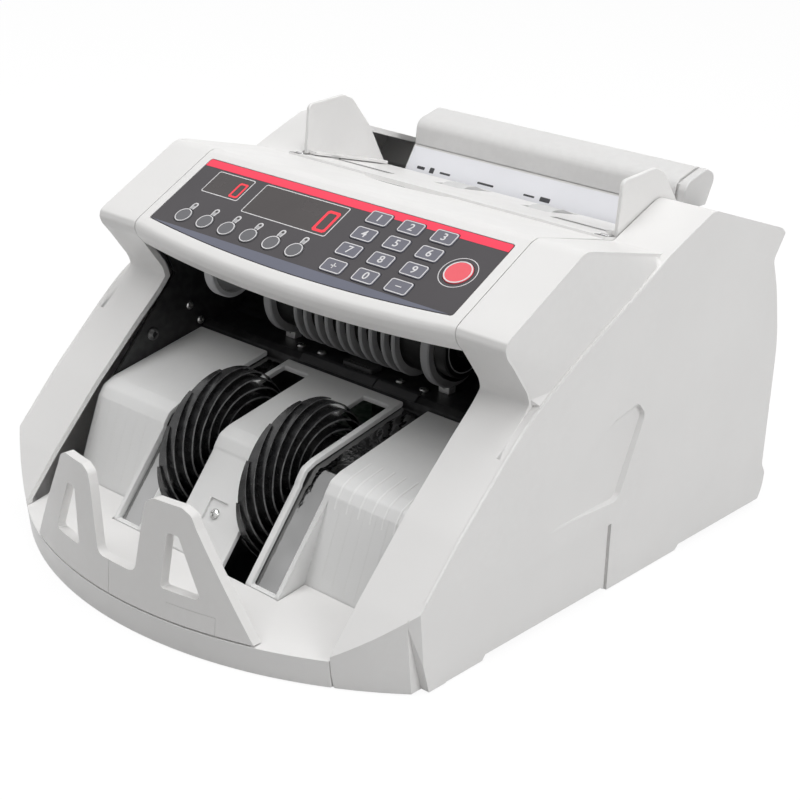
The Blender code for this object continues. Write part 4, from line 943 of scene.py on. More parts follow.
@dataclass(frozen=True)
class Layout:
    """Sizes and places that the sub-assemblies share, as in the frame."""

    throat: float = 0.192
    cheek: float = 0.029
    depth: float = 0.3184
    height: float = 0.1671
    step: float = 0.004
    wall: float = 0.0028
    seam: float = 0.0004
    over: float = 0.002
    bow_radius: float = 0.180
    lip_height: float = 0.0135
    lean: float = 0.0022
    pan_top: float = 0.0048
    wheel_radius: float = 0.0395
    wheel_centre: float = 0.025
    frame_face: float = 0.097
    stacker: Point = (-0.06972, 0.04545)
    counting: Point = (-0.005731, 0.104438)
    pull: Point = (-0.028685, 0.115312)

    @property
    def half_throat(self) -> float:
        """Half the clear width between the cheeks."""
        return self.throat / 2

    @property
    def half_shoulder(self) -> float:
        """Half the width over the shoulders."""
        return self.half_width - self.step

    @property
    def half_width(self) -> float:
        """Half the machine's width."""
        return self.throat / 2 + self.cheek

    @property
    def inner_half(self) -> float:
        """Half the width of what fits between the cheeks."""
        return self.half_throat - self.seam

    def y_of(self, share: float) -> float:
        """Y of a share of the depth, read from the tray's lip."""
        return share * self.depth - self.depth / 2

    def place(self, share: Point) -> Point:
        """The side view's point for its shares."""
        return (self.y_of(share[0]), share[1] * self.height)

    def outline(self, shares: Shares) -> list[Point]:
        """The side view's points for a table of shares."""
        return [self.place(share) for share in shares]

    def bow(self, x: float, z: float) -> float:
        """Y of the bowed front surface."""
        lean = self.lean * (1 - z / self.lip_height)
        return -self.depth / 2 + lean + self.bow_radius - math.sqrt(self.bow_radius**2 - x**2)

    def deck_line(self, shares: Shares) -> list[Point]:
        """One of the deck's profiles, from shares of the wheels' radius."""
        return [(self.stacker[0] + y * self.wheel_radius, self.stacker[1] + z * self.wheel_radius) for y, z in shares]


PLAN = Layout()

BEAK: Shares = ((0.346, 0.670), (0.309, 0.757), (0.296, 0.783), (0.291, 0.805), (0.293, 0.823), (0.301, 0.834))
SHOULDER: Shares = ((0.438, 0.982), (0.449, 0.987), (0.463, 0.983), (0.627, 0.918))
RIM: Shares = ((0.677, 0.959), (0.727, 0.998), (0.740, 1.000), (0.941, 0.886))
REAR: Shares = (
    (0.952, 0.869), (0.927, 0.797), (0.949, 0.709), (0.977, 0.536), (0.982, 0.344),
    (0.987, 0.133), (1.000, 0.099), (0.997, 0.048), (0.988, 0.018),
)
DECK_REAR: Point = (1.177, 0.787)
DECK_BLOCK: Shares = (DECK_REAR, (-0.250, 0.478), (-0.395, 0.415), (-0.4755, 0.292), (-0.790, -0.647))
DECK_NOSE: Shares = (DECK_REAR, (-0.250, 0.478), (-0.363, 0.4188), (-1.189, -0.694))
TRAY_LINE: tuple[Point, ...] = (
    (-PLAN.depth / 2, PLAN.lip_height),
    *((y - 0.0005, z - 0.00015) for y, z in (PLAN.deck_line(DECK_NOSE)[-1], PLAN.deck_line(DECK_BLOCK)[-1])),
)


def flowing(points: Sequence[Point], tight: float = 0.004) -> list[Point]:
    """A moulded outline, open at its ends: gentle bends become long arcs and sharp ones short arcs.

    Args:
        points: The outline's corners.
        tight: Radius at the sharp bends.

    Returns:
        The rounded outline.
    """
    gentle, sharp = [], []
    count = len(points)
    for index in range(count):
        before = Vector(points[index]) - Vector(points[index - 1])
        after = Vector(points[(index + 1) % count]) - Vector(points[index])
        (gentle if before.angle(after) < GENTLE_BEND else sharp).append(index)
    rounded = fillet(points, LONG_ARC, gentle, closed=False)
    corners = [rounded.index(points[index]) for index in sharp if points[index] in rounded]
    return fillet(rounded, tight, corners, closed=False)


def lengths_of(line: Sequence[Point]) -> list[float]:
    """Lengths of a polyline up to each of its points.

    Args:
        line: The polyline.

    Returns:
        The lengths, the first one 0.
    """
    lengths = [0.0]
    for before, after in zip(line, line[1:]):
        lengths.append(lengths[-1] + math.dist(before, after))
    return lengths


def along_line(line: Sequence[Point], shares: Iterable[float]) -> list[Point]:
    """Points on a polyline.

    Args:
        line: The polyline.
        shares: Shares of its length, one for each point.

    Returns:
        The points.
    """
    lengths = lengths_of(line)
    points = []
    for share in shares:
        wanted = share * lengths[-1]
        index = next(i for i in range(len(line) - 1) if wanted <= lengths[i + 1] + 1e-9)
        part = (wanted - lengths[index]) / (lengths[index + 1] - lengths[index])
        points.append(tuple(Vector(line[index]).lerp(Vector(line[index + 1]), part)))
    return points


def on_line(line: Sequence[Point], y: float) -> float:
    """Height of a polyline, read by rising y.

    Args:
        line: The polyline.
        y: Where it is read.

    Returns:
        The height, the last point's where y is beyond it.
    """
    for (y0, z0), (y1, z1) in zip(line, line[1:]):
        if y0 <= y <= y1:
            return z0 + (z1 - z0) * (y - y0) / (y1 - y0)
    return line[-1][1]


def lines_up(start: Triple, end: Triple) -> Matrix:
    """A frame whose Z runs from one point towards another."""
    along = Vector(end) - Vector(start)
    return Matrix.Translation(start) @ along.to_track_quat("Z", "Y").to_matrix().to_4x4()


# Sub-assemblies


@dataclass
class Studio:
    """Floor, lamps and camera."""

    eye: Triple = (0.47108, -0.54942, 0.34923)
    azimuth: float = 39.728
    elevation: float = 21.728
    roll: float = 3.435
    lens: float = 74.05
    sensor: float = 36.0
    floor_size: float = 6.0
    floor_tones: Point = (0.47, 0.50)
    floor_glow: float = 1.15
    floor_share: float = 0.80
    sky_strength: float = 0.34
    aim: Triple = (0.0, 0.0, 0.07)
    lamps: tuple[tuple[str, Triple, float, float], ...] = (
        ("key_lamp", (-0.5, -0.9, 1.9), 1.0, 14.5),
        ("top_lamp", (0.2, 0.2, 1.9), 1.2, 13.5),
        ("side_lamp", (1.7, 0.1, 0.9), 1.0, 12.5),
    )

    def build(self) -> None:
        """Places everything that isn't part of the machine."""
        bpy.context.scene.view_settings.view_transform = "Standard"
        self._floor()
        self._sky()
        for name, place, size, power in self.lamps:
            self._lamp(name, place, size, power)
        self._camera()

    def _seen(self, graph: Graph) -> Socket:
        """1 for rays that show the background, straight or by a mirror.

        Args:
            graph: The graph that asks.

        Returns:
            The socket.
        """
        path = graph.node("LightPath").outputs
        mirrored = graph.maths("MAXIMUM", path["Is Glossy Ray"], path["Is Transmission Ray"])
        return graph.maths("MAXIMUM", path["Is Camera Ray"], mirrored)

    def _floor(self) -> None:
        """The pale floor, nearly white to the camera, with the machine's shadow."""
        half = self.floor_size / 2
        shape = prism(Axis.Z, rectangle((-half, half), (-half, half)), -0.02, 0.0)
        floor = Piece("floor", shape).thing
        made = bpy.data.materials.new("pale_floor")
        made.use_nodes = True
        graph = Graph(made.node_tree)
        shader = graph.tree.nodes["Principled BSDF"]
        tone = graph.noise(2.0, 3.0, graph.where())
        pale = graph.mixed(tone, *((level, level, level, 1.0) for level in self.floor_tones))
        graph.tree.links.new(pale, shader.inputs["Base Color"])
        shader.inputs["Roughness"].default_value = 0.9
        white = graph.node("Emission", {"Color": (1.0, 1.0, 1.0, 1.0), "Strength": self.floor_glow}).outputs[0]
        share = graph.maths("MULTIPLY", self._seen(graph), self.floor_share)
        both = graph.node("MixShader", {0: share, 1: shader.outputs[0], 2: white}).outputs[0]
        graph.tree.links.new(both, graph.tree.nodes["Material Output"].inputs["Surface"])
        floor.data.materials.append(made)

    def _sky(self) -> None:
        """The plain white surround."""
        world = bpy.data.worlds.new("surround")
        bpy.context.scene.world = world
        world.use_nodes = True
        graph = Graph(world.node_tree)
        strength = graph.spanned(self._seen(graph), (0.0, 1.0), (self.sky_strength, 1.0))
        backing = graph.tree.nodes["Background"]
        backing.inputs["Color"].default_value = (1.0, 1.0, 1.0, 1.0)
        graph.tree.links.new(strength, backing.inputs["Strength"])

    def _lamp(self, name: str, place: Triple, size: float, power: float) -> None:
        """A soft square lamp that looks at the machine.

        Args:
            name: Its name.
            place: Where it stands.
            size: Its width.
            power: Its power in watts.
        """
        light = bpy.data.lights.new(name, "AREA")
        light.size = size
        light.energy = power
        lamp = bpy.data.objects.new(name, light)
        lamp.location = place
        lamp.rotation_euler = (Vector(self.aim) - Vector(place)).to_track_quat("-Z", "Y").to_euler()
        bpy.context.scene.collection.objects.link(lamp)

    def _camera(self) -> None:
        """The camera, at the photograph's place."""
        azimuth, elevation, roll = (math.radians(turn) for turn in (self.azimuth, self.elevation, self.roll))
        flat = math.cos(elevation)
        back = Vector((math.sin(azimuth) * flat, -math.cos(azimuth) * flat, math.sin(elevation)))
        level = Vector((math.cos(azimuth), math.sin(azimuth), 0.0))
        upward = back.cross(level)
        across = math.cos(roll) * level + math.sin(roll) * upward
        upright = -math.sin(roll) * level + math.cos(roll) * upward
        data = bpy.data.cameras.new("camera")
        data.lens = self.lens
        data.sensor_width = self.sensor
        camera = bpy.data.objects.new("camera", data)
        axes = Matrix((across, upright, back)).transposed()
        camera.matrix_world = Matrix.Translation(self.eye) @ axes.to_4x4()
        bpy.context.scene.collection.objects.link(camera)
        bpy.context.scene.camera = camera


@dataclass
class SideShell:
    """One side of the housing: cheek, shoulder, raised panel and rim."""

    side: Side
    cheek: Shares = ((0.135, 0.209), (0.214, 0.380), (0.294, 0.533), (0.338, 0.612), (0.351, 0.643))
    foot: Shares = ((0.096, 0.004), (0.084, 0.088))
    ridge: Shares = ((0.416, 0.703), (0.477, 0.766), (0.547, 0.833), (0.627, 0.918))
    panel_foot: Shares = ((0.173, 0.004),)
    skids: Shares = ((0.752, 0.018), (0.743, 0.004), (0.561, 0.004), (0.551, 0.018), (0.287, 0.018), (0.281, 0.004))
    recess: Shares = (
        (0.591, 0.5345), (0.6135, 0.492), (0.567, 0.268), (0.3635, 0.268),
        (0.4199, 0.3902), (0.4815, 0.4662), (0.5361, 0.5111),
    )
    recess_floor: Shares = (
        (0.603, 0.516), (0.610, 0.492), (0.5635, 0.276), (0.400, 0.2775),
        (0.4440, 0.3830), (0.5000, 0.4530), (0.5480, 0.4960),
    )
    recess_depth: float = 0.0022
    low_pocket: Shares = ((0.5535, 0.204), (0.5605, -0.02), (0.20, -0.02), (0.235, 0.135), (0.330, 0.205))
    low_depth: float = 0.0004
    groove: Shares = ((0.5500, 0.206), (0.5570, 0.206), (0.5640, -0.02), (0.5570, -0.02))
    groove_depth: float = 0.0016
    recess_corner: float = 0.005
    cut_rounding: float = 0.0003
    cut_shares: Point = (0.2, 0.63)
    cut_heights: Point = (0.002, 0.093)
    front_wall: float = 0.0036
    inner_corner: float = 0.001
    bow_steps: int = 10
    bow_top: float = 0.07
    rounding: float = 0.0013
    wedge_steps: int = 16
    wedge_reach: Point = (0.01, 0.995)
    wedge_edge: float = 0.02
    bead: float = 0.0011
    bead_proud: float = 0.00018
    bead_start: float = 0.0065
    bead_steps: int = 140
    bead_sides: int = 14
    splits: tuple[float, ...] = (0.610, 0.618, 0.638, 0.652, 0.672, 0.690)

    def build(self) -> None:
        """Builds the shell and its seams."""
        side = self.side.value
        lines = self._lines()
        body, panel = (flowing(line) for line in lines)
        skids = PLAN.outline(self.skids)
        name = f"{self.side.word}_side_shell"
        shell = Piece(f"{self.side.word}_shell", self.side.prism(body + skids, PLAN.half_throat, PLAN.half_shoulder))
        panel_inside = PLAN.half_shoulder - PLAN.wall
        shell.join(self.side.prism(panel + skids, panel_inside, PLAN.half_width))
        start = PLAN.half_throat - PLAN.over
        for line, reach in zip(lines, (panel_inside, PLAN.half_width - PLAN.wall)):
            hollow = Piece("hollow", self.side.prism(self._hollow(line), start, reach))
            hollow.cut(self._front(self.front_wall))
            shell.cut(taken(hollow))
        shell.cut(self._front(0.0))
        shell.soften(self.rounding, 3)
        for points, depth in ((self.low_pocket, self.low_depth), (self.groove, self.groove_depth)):
            shell.cut(self.side.prism(PLAN.outline(points), PLAN.half_width - depth, PLAN.half_width + PLAN.over))
        shell.cut(self._sloped_pocket())
        shell.soften(self.cut_rounding, where=self._on_panel)
        for reach in (PLAN.half_shoulder, PLAN.half_width):
            shell.split((side * (reach - 1.5 * self.rounding), 0.0, 0.0), (1.0, 0.0, 0.0))
        for share in self.splits:
            shell.split((0.0, PLAN.y_of(share), 0.0), (0.0, 1.0, 0.0))
        shell.finish(SHELL_WHITE, replaced=(name,))
        Piece(f"{self.side.word}_shoulder_slope", self._wedge()).finish(SHELL_WHITE)
        Piece(f"{self.side.word}_panel_bead", self._bead()).finish(SHELL_WHITE)

    def _wedge(self) -> Shape:
        """The slope from the shoulder's outer edge up to the raised panel's.

        Returns:
            The solid.
        """
        edge = offset_line(PLAN.outline(self.cheek[-2:] + BEAK + SHOULDER), self.rounding)
        start, end = PLAN.place(self.cheek[-2]), PLAN.place(self.ridge[-1])
        ridge = [(y, z) for y, z in flowing(self._lines()[1]) if start[0] <= y <= end[0] and z >= start[1]]
        lengths = lengths_of(ridge)
        corners = [length / lengths[-1] for length in lengths]
        shares = sorted({round(share, 3) for share in [*stations(0.0, 1.0, self.wedge_steps), *corners]})
        shares = [share for share in shares if self.wedge_reach[0] < share < self.wedge_reach[1]]
        edge = along_line(edge, shares)
        fold = along_line(ridge, shares)
        inside = along_line(offset_line(ridge, self.rounding), shares)
        near = [tuple(Vector(point).lerp(Vector(out), self.wedge_edge)) for point, out in zip(fold, edge)]
        base = PLAN.half_shoulder - self.rounding / 2
        low = edge + inside[::-1]
        high = near + inside[::-1]
        places = ((base, low), (PLAN.half_shoulder, low), (PLAN.half_width - self.rounding, high))
        made = loft([[(self.side.value * x, y, z) for y, z in ring] for x, ring in places])
        bmesh.ops.triangulate(made, faces=[face for face in made.faces if len(face.verts) == 4])
        return made

    def _bead(self) -> Shape:
        """The rounded bead along the raised panel's front edge.

        Returns:
            The solid.
        """
        low, end = PLAN.place(self.cheek[0])[1] + self.bead_start, PLAN.place(self.ridge[-1])[0]
        reach = self.bead - self.bead_proud
        line = [(y, z) for y, z in offset_line(flowing(self._lines()[1]), reach) if y <= end]
        line = [(y, z) for y, z in along_line(line, stations(0.0, 1.0, self.bead_steps)) if z >= low]
        across = self.side.value * (PLAN.half_width - reach)
        return tube([Vector((across, y, z)) for y, z in line], self.bead, self.bead_sides)

    def _sloped_pocket(self) -> Shape:
        """The three-sided recess, its floor rising to nothing at its front corner.

        Returns:
            The shape to cut.
        """
        outlines = (PLAN.outline(points) for points in (self.recess, self.recess_floor))
        rim, floor = (fillet(points, self.recess_corner, steps=5) for points in outlines)
        high = PLAN.half_width
        right, corner = Vector(PLAN.place(self.recess[2])), Vector(PLAN.place(self.recess[3]))
        long = (right - corner).length
        sections = [[], [], []]
        for (y, z), (floor_y, floor_z) in zip(rim, floor):
            sunk = self.recess_depth * min(1.0, (Vector((floor_y, floor_z)) - corner).length / long)
            sections[0].append((self.side.value * (high + PLAN.over), y, z))
            sections[1].append((self.side.value * high, y, z))
            sections[2].append((self.side.value * (high - sunk), floor_y, floor_z))
        made = loft(sections)
        bmesh.ops.triangulate(made, faces=[face for face in made.faces if len(face.verts) > 3])
        return made

    def _on_panel(self, edge: bmesh.types.BMEdge) -> bool:
        """Whether an edge belongs to the cuts in the raised panel's face.

        Args:
            edge: The edge.

        Returns:
            True where it does.
        """
        depth = PLAN.half_width - 1.2 * self.recess_depth
        front, rear = (PLAN.y_of(share) for share in self.cut_shares)
        low, high = self.cut_heights
        places = [vert.co for vert in edge.verts]
        return all(abs(place.x) > depth and front < place.y < rear and low < place.z < high for place in places)

    def _lines(self) -> tuple[list[Point], list[Point]]:
        """The corners of the inner half's outline and of the raised panel's."""
        body, panel = self.foot + self.cheek + BEAK + SHOULDER, self.panel_foot + self.cheek[:-1] + self.ridge
        return PLAN.outline(body + RIM + REAR), PLAN.outline(panel + RIM + REAR)

    def _hollow(self, line: Sequence[Point]) -> list[Point]:
        """The space inside an outline, open at the bottom."""
        inner = flowing(offset_line(line, PLAN.wall), self.inner_corner)
        return [(inner[0][0], -PLAN.over), *inner, (inner[-1][0], -PLAN.over)]

    def _front(self, behind: float) -> Shape:
        """Everything ahead of the bowed front, or of a surface behind it.

        Args:
            behind: How far behind the front that surface lies.

        Returns:
            The shape to cut.
        """
        low_z, high_z = -2 * PLAN.over, self.bow_top
        sections = []
        for x in stations(PLAN.half_throat - PLAN.over, PLAN.half_width + PLAN.over, self.bow_steps):
            low, high = (PLAN.bow(x, z) + behind for z in (low_z, high_z))
            x *= self.side.value
            sections.append([(x, -PLAN.depth, low_z), (x, low, low_z), (x, high, high_z), (x, -PLAN.depth, high_z)])
        return loft(sections)


def taken(piece: Piece) -> Shape:
    """A helper piece's shape, the piece itself removed.

    Args:
        piece: The helper piece.

    Returns:
        Its shape.
    """
    shape = bmesh.new()
    shape.from_mesh(piece.thing.data)
    bpy.data.objects.remove(piece.thing)
    return shape


@dataclass
class FrontTray:
    """The bowed skirt and the floor on which the notes stand."""

    wall: float = 0.0026
    skirt_gap: float = 0.00065
    nose_half: float = 0.0529
    tab_centre: float = 0.065
    tab_width: float = 0.008
    tab_y: Point = (-0.0052, -0.0012)
    tab_low: float = 0.0051
    tab_drop: float = 0.00195
    rounding: float = 0.0007
    steps: int = 48

    def build(self) -> None:
        """Builds the tray."""
        lip, nose_end, block_end = TRAY_LINE
        slope = (nose_end[1] - lip[1]) / (nose_end[0] - lip[0])
        sections = []
        for x in stations(-PLAN.inner_half, PLAN.inner_half, self.steps):
            low, high = PLAN.bow(x, self.skirt_gap), PLAN.bow(x, lip[1])
            back = lip[1] + slope * self.wall
            ring = [
                (low, self.skirt_gap), (high, lip[1]), (high + self.wall, back), block_end,
                (block_end[0], block_end[1] - self.wall), (high + self.wall, back - self.wall),
                (low + self.wall, self.skirt_gap),
            ]
            sections.append([(x, y, z) for y, z in ring])
        bowed = loft(sections)
        bmesh.ops.triangulate(bowed, faces=bowed.faces)
        tray = Piece("tray", bowed)
        tray.cut(block((-self.nose_half, self.nose_half), (nose_end[0], 0.0), (0.0, PLAN.height)))
        for side in Side:
            x = spread(side.value * self.tab_centre, self.tab_width)
            y = (block_end[0] + self.tab_y[0], block_end[0] + self.tab_y[1])
            tray.join(block(x, y, (self.tab_low, block_end[1] - self.tab_drop)))
        tray.soften(self.rounding, 3)
        tray.finish(SHELL_WHITE, replaced=("front_tray",))


@dataclass
class NoteStop:
    """The curved plate with two A-shaped fingers."""

    thickness: float = 0.0045
    finger: tuple[Point, ...] = (
        (0.0680, 0.0144), (0.0430, 0.0590), (0.0405, 0.0645), (0.0360, 0.0668), (0.0220, 0.0668),
        (0.0180, 0.0645), (0.0165, 0.0590), (0.0115, 0.0301),
    )
    hole: tuple[Point, ...] = ((0.0255, 0.0282), (0.02875, 0.0538), (0.0345, 0.0538), (0.0455, 0.0282))
    seams: tuple[tuple[Point, Point], ...] = (
        ((-0.00465, -0.00435), (0.0, 0.040)), ((0.0285, 0.0519), (0.0224, 0.0226)), ((0.0517, 0.0519), (0.0, 0.0226)),
    )
    seam_depth: float = 0.0002
    seam_steps: int = 8
    corner: float = 0.0042
    hole_corner: float = 0.0016
    rounding: float = 0.0007
    blank_height: float = 0.09
    steps: int = 40

    def build(self) -> None:
        """Builds the stop and its fine seams."""
        half = self.finger[0][0] + PLAN.over
        sections = []
        for x in stations(-half, half, self.steps):
            front = PLAN.bow(x, PLAN.lip_height)
            flat = rectangle((0.0, self.thickness), (0.0, self.blank_height))
            sections.append([(x, front + y, z) for y, z in flat])
        stop = Piece("stop", loft(sections))
        outline = [*self.finger, *((-x, z) for x, z in self.finger[::-1])]
        rounded = fillet(outline, self.corner, range(1, len(outline) - 1), 5)
        stop.keep_inside(prism(Axis.Y, rounded, -PLAN.depth, 0.0))
        for side in Side:
            hole = [(side.value * x, z) for x, z in self.hole]
            stop.cut(prism(Axis.Y, fillet(hole, self.hole_corner), -PLAN.depth, 0.0))
        stop.soften(self.rounding)
        stop.cut(*(self._seam(x, z) for x, z in self.seams))
        stop.finish(STOP_WHITE, replaced=("note_stop",))

    def _seam(self, x: Point, z: Point) -> Shape:
        """A fine groove in the front, between two distances across and two heights.

        Args:
            x: Its ends across.
            z: Its ends in height.

        Returns:
            The shape to cut.
        """
        sections = []
        for place in stations(*x, self.seam_steps):
            front = PLAN.bow(place, PLAN.lip_height)
            ring = rectangle((front - PLAN.over, front + self.seam_depth), z)
            sections.append([(place, y, height) for y, height in ring])
        return loft(sections)


@dataclass
class PanelPlane:
    """The key panel's own plane: origin on its lower edge, Y up the slope, Z out of it."""

    tilt: float = math.radians(29.552)
    origin: Triple = (0.0, -0.061970, 0.140150)
    half: float = 0.0902
    length: float = 0.044243
    reach: float = 0.005867
    steps: int = 40

    @property
    def matrix(self) -> Matrix:
        """From the panel's plane to the machine."""
        return Matrix.Translation(self.origin) @ Matrix.Rotation(self.tilt, 4, "X")

    def lower(self, x: float, extra: float = 0.0) -> float:
        """The bowed lower edge at x."""
        wide = self.half + extra
        return -self.reach * (1 - (x / wide) ** 2) - extra

    def outline(self, extra: float, corner: float) -> list[Point]:
        """The film's outline, larger all round by extra.

        Args:
            extra: How much larger.
            corner: The corners' radius.

        Returns:
            The outline.
        """
        wide = self.half + extra
        bottom = [(x, self.lower(x, extra)) for x in stations(-wide, wide, self.steps)]
        points = [*bottom, (wide, self.length + extra), (-wide, self.length + extra)]
        return fillet(points, corner, (0, self.steps, -2, -1), 5)


PANEL = PanelPlane()
BATCH_WINDOW: tuple[Point, Point] = ((-0.07820, -0.05520), (0.02411, 0.03783))
COUNT_WINDOW: tuple[Point, Point] = ((-0.04740, 0.00379), (0.01931, 0.03803))


@dataclass
class ConsoleCover:
    """The sloped cover between the shoulders."""

    wall: float = 0.0034
    bow: float = 0.0058
    slope: float = 0.56695
    rear: Point = (0.6060, 0.9298)
    corner: float = 0.004
    fold_behind: float = 0.004
    film: float = 0.0018
    film_gap: float = 0.0003
    film_corner: float = 0.0015
    margin: float = 0.0008
    rounding: float = 0.0005
    scoop_radii: Triple = (0.027, 0.0095, 0.0020)
    scoop_tilt: float = math.radians(-12)
    scoop_place: Triple = (-0.017, 0.0335, 0.1555)
    steps: int = 48

    def build(self) -> None:
        """Builds the cover with its recess and windows."""
        corners = PLAN.outline(BEAK[1:] + SHOULDER[:-1] + (self.rear,))
        line = fillet(corners, self.corner, range(1, 8), 3, closed=False)
        inner = offset_line(line, self.wall)
        fold = PLAN.place(BEAK[-1])[0] + self.fold_behind
        sections = []
        for x in stations(-PLAN.inner_half, PLAN.inner_half, self.steps):
            forward = self.bow * (1 - (x / PLAN.inner_half) ** 2)
            ring = []
            for points in (line, inner[::-1]):
                for y, z in points:
                    shift = forward if y < fold else 0.0
                    ring.append((x, y - shift, z - shift * self.slope))
            sections.append(ring)
        cover = Piece("cover", loft(sections))
        recess = prism(Axis.Z, PANEL.outline(self.film_gap, self.film_corner), -self.film, PLAN.over)
        recess.transform(PANEL.matrix)
        cover.cut(recess)
        for x, y in (BATCH_WINDOW, COUNT_WINDOW):
            limits = ((low - self.margin, high + self.margin) for low, high in (x, y))
            window = prism(Axis.Z, rectangle(*limits), -2 * self.wall, PLAN.over)
            window.transform(PANEL.matrix)
            cover.cut(window)
        cover.cut(self._scoop())
        cover.soften(self.rounding)
        cover.finish(SHELL_WHITE, replaced=("console_cover",))

    def _scoop(self) -> Shape:
        """The lens-shaped finger hollow at the cover's rear edge.

        Returns:
            The shape to cut.
        """
        made = bmesh.new()
        bmesh.ops.create_uvsphere(made, u_segments=48, v_segments=24, radius=1.0)
        bmesh.ops.scale(made, vec=self.scoop_radii, verts=made.verts)
        bmesh.ops.rotate(made, matrix=Matrix.Rotation(self.scoop_tilt, 3, "X"), verts=made.verts)
        bmesh.ops.translate(made, vec=self.scoop_place, verts=made.verts)
        return made


